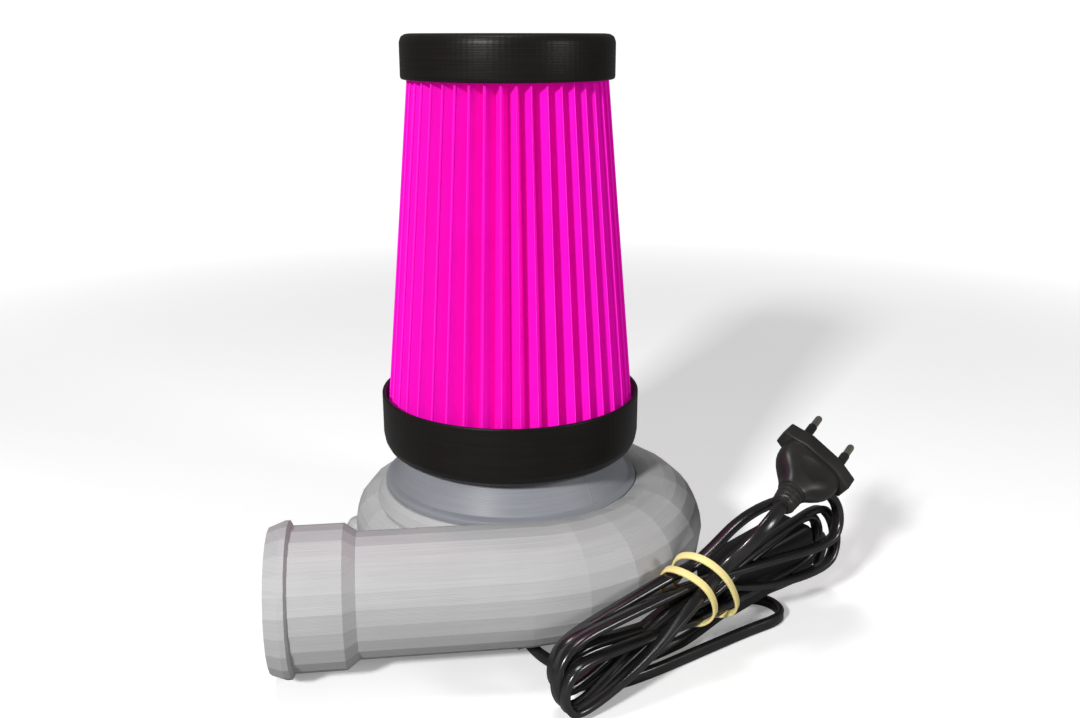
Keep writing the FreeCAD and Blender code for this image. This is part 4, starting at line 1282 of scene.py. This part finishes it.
@dataclass
class MainsPlug:
    """The flat two-pin plug with its ribbed strain relief. Sizes are in millimetres."""

    dresser: Dresser
    face: Vector = field(default_factory=lambda: Vector((134.4, -28.3, 75.6)) * MM)
    axis: Vector = field(default_factory=lambda: Vector((0.568, 0.774, 0.277)))
    wide: Vector = field(default_factory=lambda: Vector((0.715, -0.311, -0.598)))
    flange_length: float = 35.3
    flange_width: float = 13.7
    flange_depth: float = 7.5
    flange_end: float = 3.6
    flange_corner: float = 7.6
    flange_round: float = 0.5
    squareness: float = 0.72
    grip_rings: list[Triple] = field(default_factory=lambda: [
        (14.2, 5.6, -6.5), (14.3, 5.7, -7.8), (14.5, 6.1, -9.5), (14.6, 6.4, -12.0),
        (14.3, 6.6, -14.5), (13.6, 6.6, -17.0), (12.2, 6.5, -19.5), (10.2, 6.2, -22.0),
        (8.1, 5.9, -24.2), (6.7, 5.6, -26.2), (6.2, 5.4, -27.6), (5.9, 5.2, -28.4)])
    oval_centre: Triple = (0.0, 7.2, -15.5)
    oval_size: Triple = (8.6, 1.5, 6.2)
    relief_top: float = -27.0
    first_rib: float = -28.6
    ribs: int = 4
    rib_pitch: float = 2.2
    rib_radius: float = 5.6
    rib_taper: float = 0.2
    pin_pitch: float = 18.6
    pin_hole_radius: float = 2.05
    edge_round: float = 0.3

    def place(self) -> Matrix:
        """The plug's frame: Z along its pins and X along its flange."""
        up = self.axis.normalized()
        across = (self.wide - up * self.wide.dot(up)).normalized()
        turn = Matrix((across, up.cross(across), up)).transposed().to_4x4()
        return Matrix.Translation(self.face) @ turn

    def flange_ring(self, inset: float, height: float) -> list[Vector]:
        """The flange's eight-cornered outline, drawn in by a margin."""
        half, thin = self.flange_length / 2 - inset, self.flange_width / 2 - inset
        end, corner = self.flange_end, self.flange_corner
        front = [(-half, -end), (-corner, -thin), (0.0, -thin), (corner, -thin), (half, -end)]
        corners = front + [(-x, -y) for x, y in front]
        return [Vector((x, y, height)) * MM for x, y in corners]

    def grip_ring(self, half: float, thin: float, height: float,
                  sides: int = 48) -> list[Vector]:
        """A soft rectangular ring of the grip."""
        ring = []
        for step in range(sides):
            angle = -math.pi + 2 * math.pi * step / sides
            x, y = math.cos(angle), math.sin(angle)
            ring.append(Vector((half * math.copysign(abs(x) ** self.squareness, x),
                                thin * math.copysign(abs(y) ** self.squareness, y),
                                height)) * MM)
        return ring

    def grip(self) -> bpy.types.Object:
        """The contoured grip with a shallow oval on each broad face."""
        grip = lofted("plug_grip", [self.grip_ring(*ring) for ring in self.grip_rings])
        for side in (-1.0, 1.0):
            bench = Bench("oval")
            x, y, z = self.oval_centre
            bpy.ops.mesh.primitive_uv_sphere_add(
                segments=40, ring_count=20, radius=1.0,
                location=(x * MM, side * y * MM, z * MM),
                scale=[part * MM for part in self.oval_size])
            bench.adopt()
            joined(grip, bench.close(), Join.DIFFERENCE)
        return grip

    def relief(self) -> bpy.types.Object:
        """The tapered strain relief with its ribs."""
        profile = [(POLE, self.relief_top), (4.8, self.relief_top), (4.8, self.first_rib)]
        for rib in range(self.ribs):
            height = self.first_rib - rib * self.rib_pitch
            radius = self.rib_radius - rib * self.rib_taper
            profile += [(radius, height), (radius, height - 1.3), (4.7, height - 1.5),
                        (4.6, height - self.rib_pitch)]
        end = self.first_rib - self.ribs * self.rib_pitch
        profile += [(4.0, end), (3.9, end - 0.4), (POLE, end - 0.4)]
        return ringed("plug_relief", profile, 40, False)

    def build(self) -> bpy.types.Object:
        """Model the moulding, cut the pins' holes and dress it."""
        margin = self.flange_round
        flange = lofted("plug_moulding", [
            self.flange_ring(inset, height) for inset, height in (
                (margin, 0.0), (0.0, -margin), (0.0, margin - self.flange_depth),
                (margin, -self.flange_depth))])
        joined(flange, self.grip(), Join.UNION)
        joined(flange, self.relief(), Join.UNION)
        for side in (-1.0, 1.0):
            hole = rod("pin_hole", 32, self.pin_hole_radius, 6.0,
                       (side * self.pin_pitch / 2, 0.0, -1.0))
            joined(flange, hole.close(), Join.DIFFERENCE)
        rounded(flange, self.edge_round * MM, 2, 30.0)
        placed(flange, self.place())
        return self.dresser.settle(flange, "plug_pvc", "body", "plug_body")


# ---- The studio ----------------------------------------------------------------------

@dataclass
class Studio:
    """The pale floor, the soft lights and the camera. Sizes are in metres."""

    eye: Triple = (0.01336, -0.46568, 0.2522)
    pitch: float = 73.09
    lens: float = 36.08
    aim: Triple = (0.0, 0.0, 0.1)
    sky: float = 0.11
    floor_radius: float = 6.0
    floor_height: float = -0.0002
    wall_height: float = 2.6
    wall_round: float = 1.5
    lamps: list[tuple[str, Triple, float, float]] = field(default_factory=lambda: [
        ("key", (-0.6, -1.2, 0.85), 0.16, 22.5), ("fill", (1.1, -0.7, 0.6), 0.3, 5.5),
        ("top", (-0.2, 0.1, 1.6), 0.4, 7.0)])

    def floor(self) -> None:
        """A wide plain floor whose edge turns up into a wall all round."""
        bench = Bench("floor")
        bpy.ops.mesh.primitive_circle_add(vertices=96, radius=self.floor_radius,
                                          fill_type="NGON", location=(0, 0, self.floor_height))
        piece = bench.adopt()
        bench.select_rim()
        bpy.ops.mesh.extrude_region_move(
            TRANSFORM_OT_translate={"value": (0, 0, self.wall_height)})
        bpy.ops.object.mode_set(mode="OBJECT")
        finish_with(piece, "BEVEL", width=self.wall_round, segments=10, limit_method="ANGLE")
        smooth(piece, 60.0)
        piece.data.materials.append(self.floor_material())

    def floor_material(self) -> bpy.types.Material:
        """A pale finish, dimmer where it lights the object than where the camera sees it."""
        bench = ShaderBench("pale_floor")
        seen = Tap(bench, bench.node("ShaderNodeLightPath").outputs["Is Camera Ray"])
        away = bench.reach().ramped(0.1, 1.4)
        bench.link("Emission Color", bench.blend(away, (0.22, 0.22, 0.22), (0.90, 0.90, 0.90)))
        bench.link("Emission Strength", seen * 0.88 + 0.12)
        bench.link("Base Color", bench.blend(seen, (0.22, 0.22, 0.22), (0.93, 0.93, 0.93)))
        bench.set(Roughness=0.85)
        return bench.material

    def lights(self) -> None:
        """A dim even sky with a key light, a fill and a light from above."""
        world = bpy.data.worlds.new("studio")
        world.use_nodes = True
        background = world.node_tree.nodes["Background"]
        background.inputs[0].default_value = (1, 1, 1, 1)
        background.inputs[1].default_value = self.sky
        bpy.context.scene.world = world
        for name, place, size, energy in self.lamps:
            data = bpy.data.lights.new(name, "AREA")
            data.size = size
            data.energy = energy
            lamp = bpy.data.objects.new(name, data)
            lamp.location = place
            towards = Vector(self.aim) - Vector(place)
            lamp.rotation_euler = towards.to_track_quat("-Z", "Y").to_euler()
            bpy.context.scene.collection.objects.link(lamp)

    def camera(self) -> None:
        """The camera at the viewing place."""
        data = bpy.data.cameras.new("camera")
        data.lens = self.lens
        data.sensor_width = 36.0
        data.clip_end = 50.0
        camera = bpy.data.objects.new("camera", data)
        camera.location = self.eye
        camera.rotation_euler = (math.radians(self.pitch), 0.0, 0.0)
        bpy.context.scene.collection.objects.link(camera)
        bpy.context.scene.camera = camera

    def build(self) -> None:
        """Set up the floor, the lights and the camera."""
        bpy.context.scene.view_settings.view_transform = "Standard"
        self.camera()
        self.lights()
        self.floor()


# ---- Everything together -------------------------------------------------------------


def main() -> None:
    """Build the studio and every sub-assembly in order."""
    logging.basicConfig(level=logging.INFO, format="%(name)s %(message)s")
    dresser = Dresser()
    dresser.dress_frame()
    Studio().build()
    SnailCasing(dresser).build()
    InletNeck(dresser).build()
    ConeFilter(dresser).build()
    on_cord: list[bpy.types.Object | str] = ["plug_pins", "pin_sleeves", "switch_screws",
                                             "rocker_pin", "cord_gland"]
    on_cord.append(RubberBand(dresser).build())
    on_cord += InlineSwitch(dresser).build()
    on_cord.append(MainsPlug(dresser).build())
    MainsCord(dresser).build(on_cord)


if __name__ == "__main__":
    main()
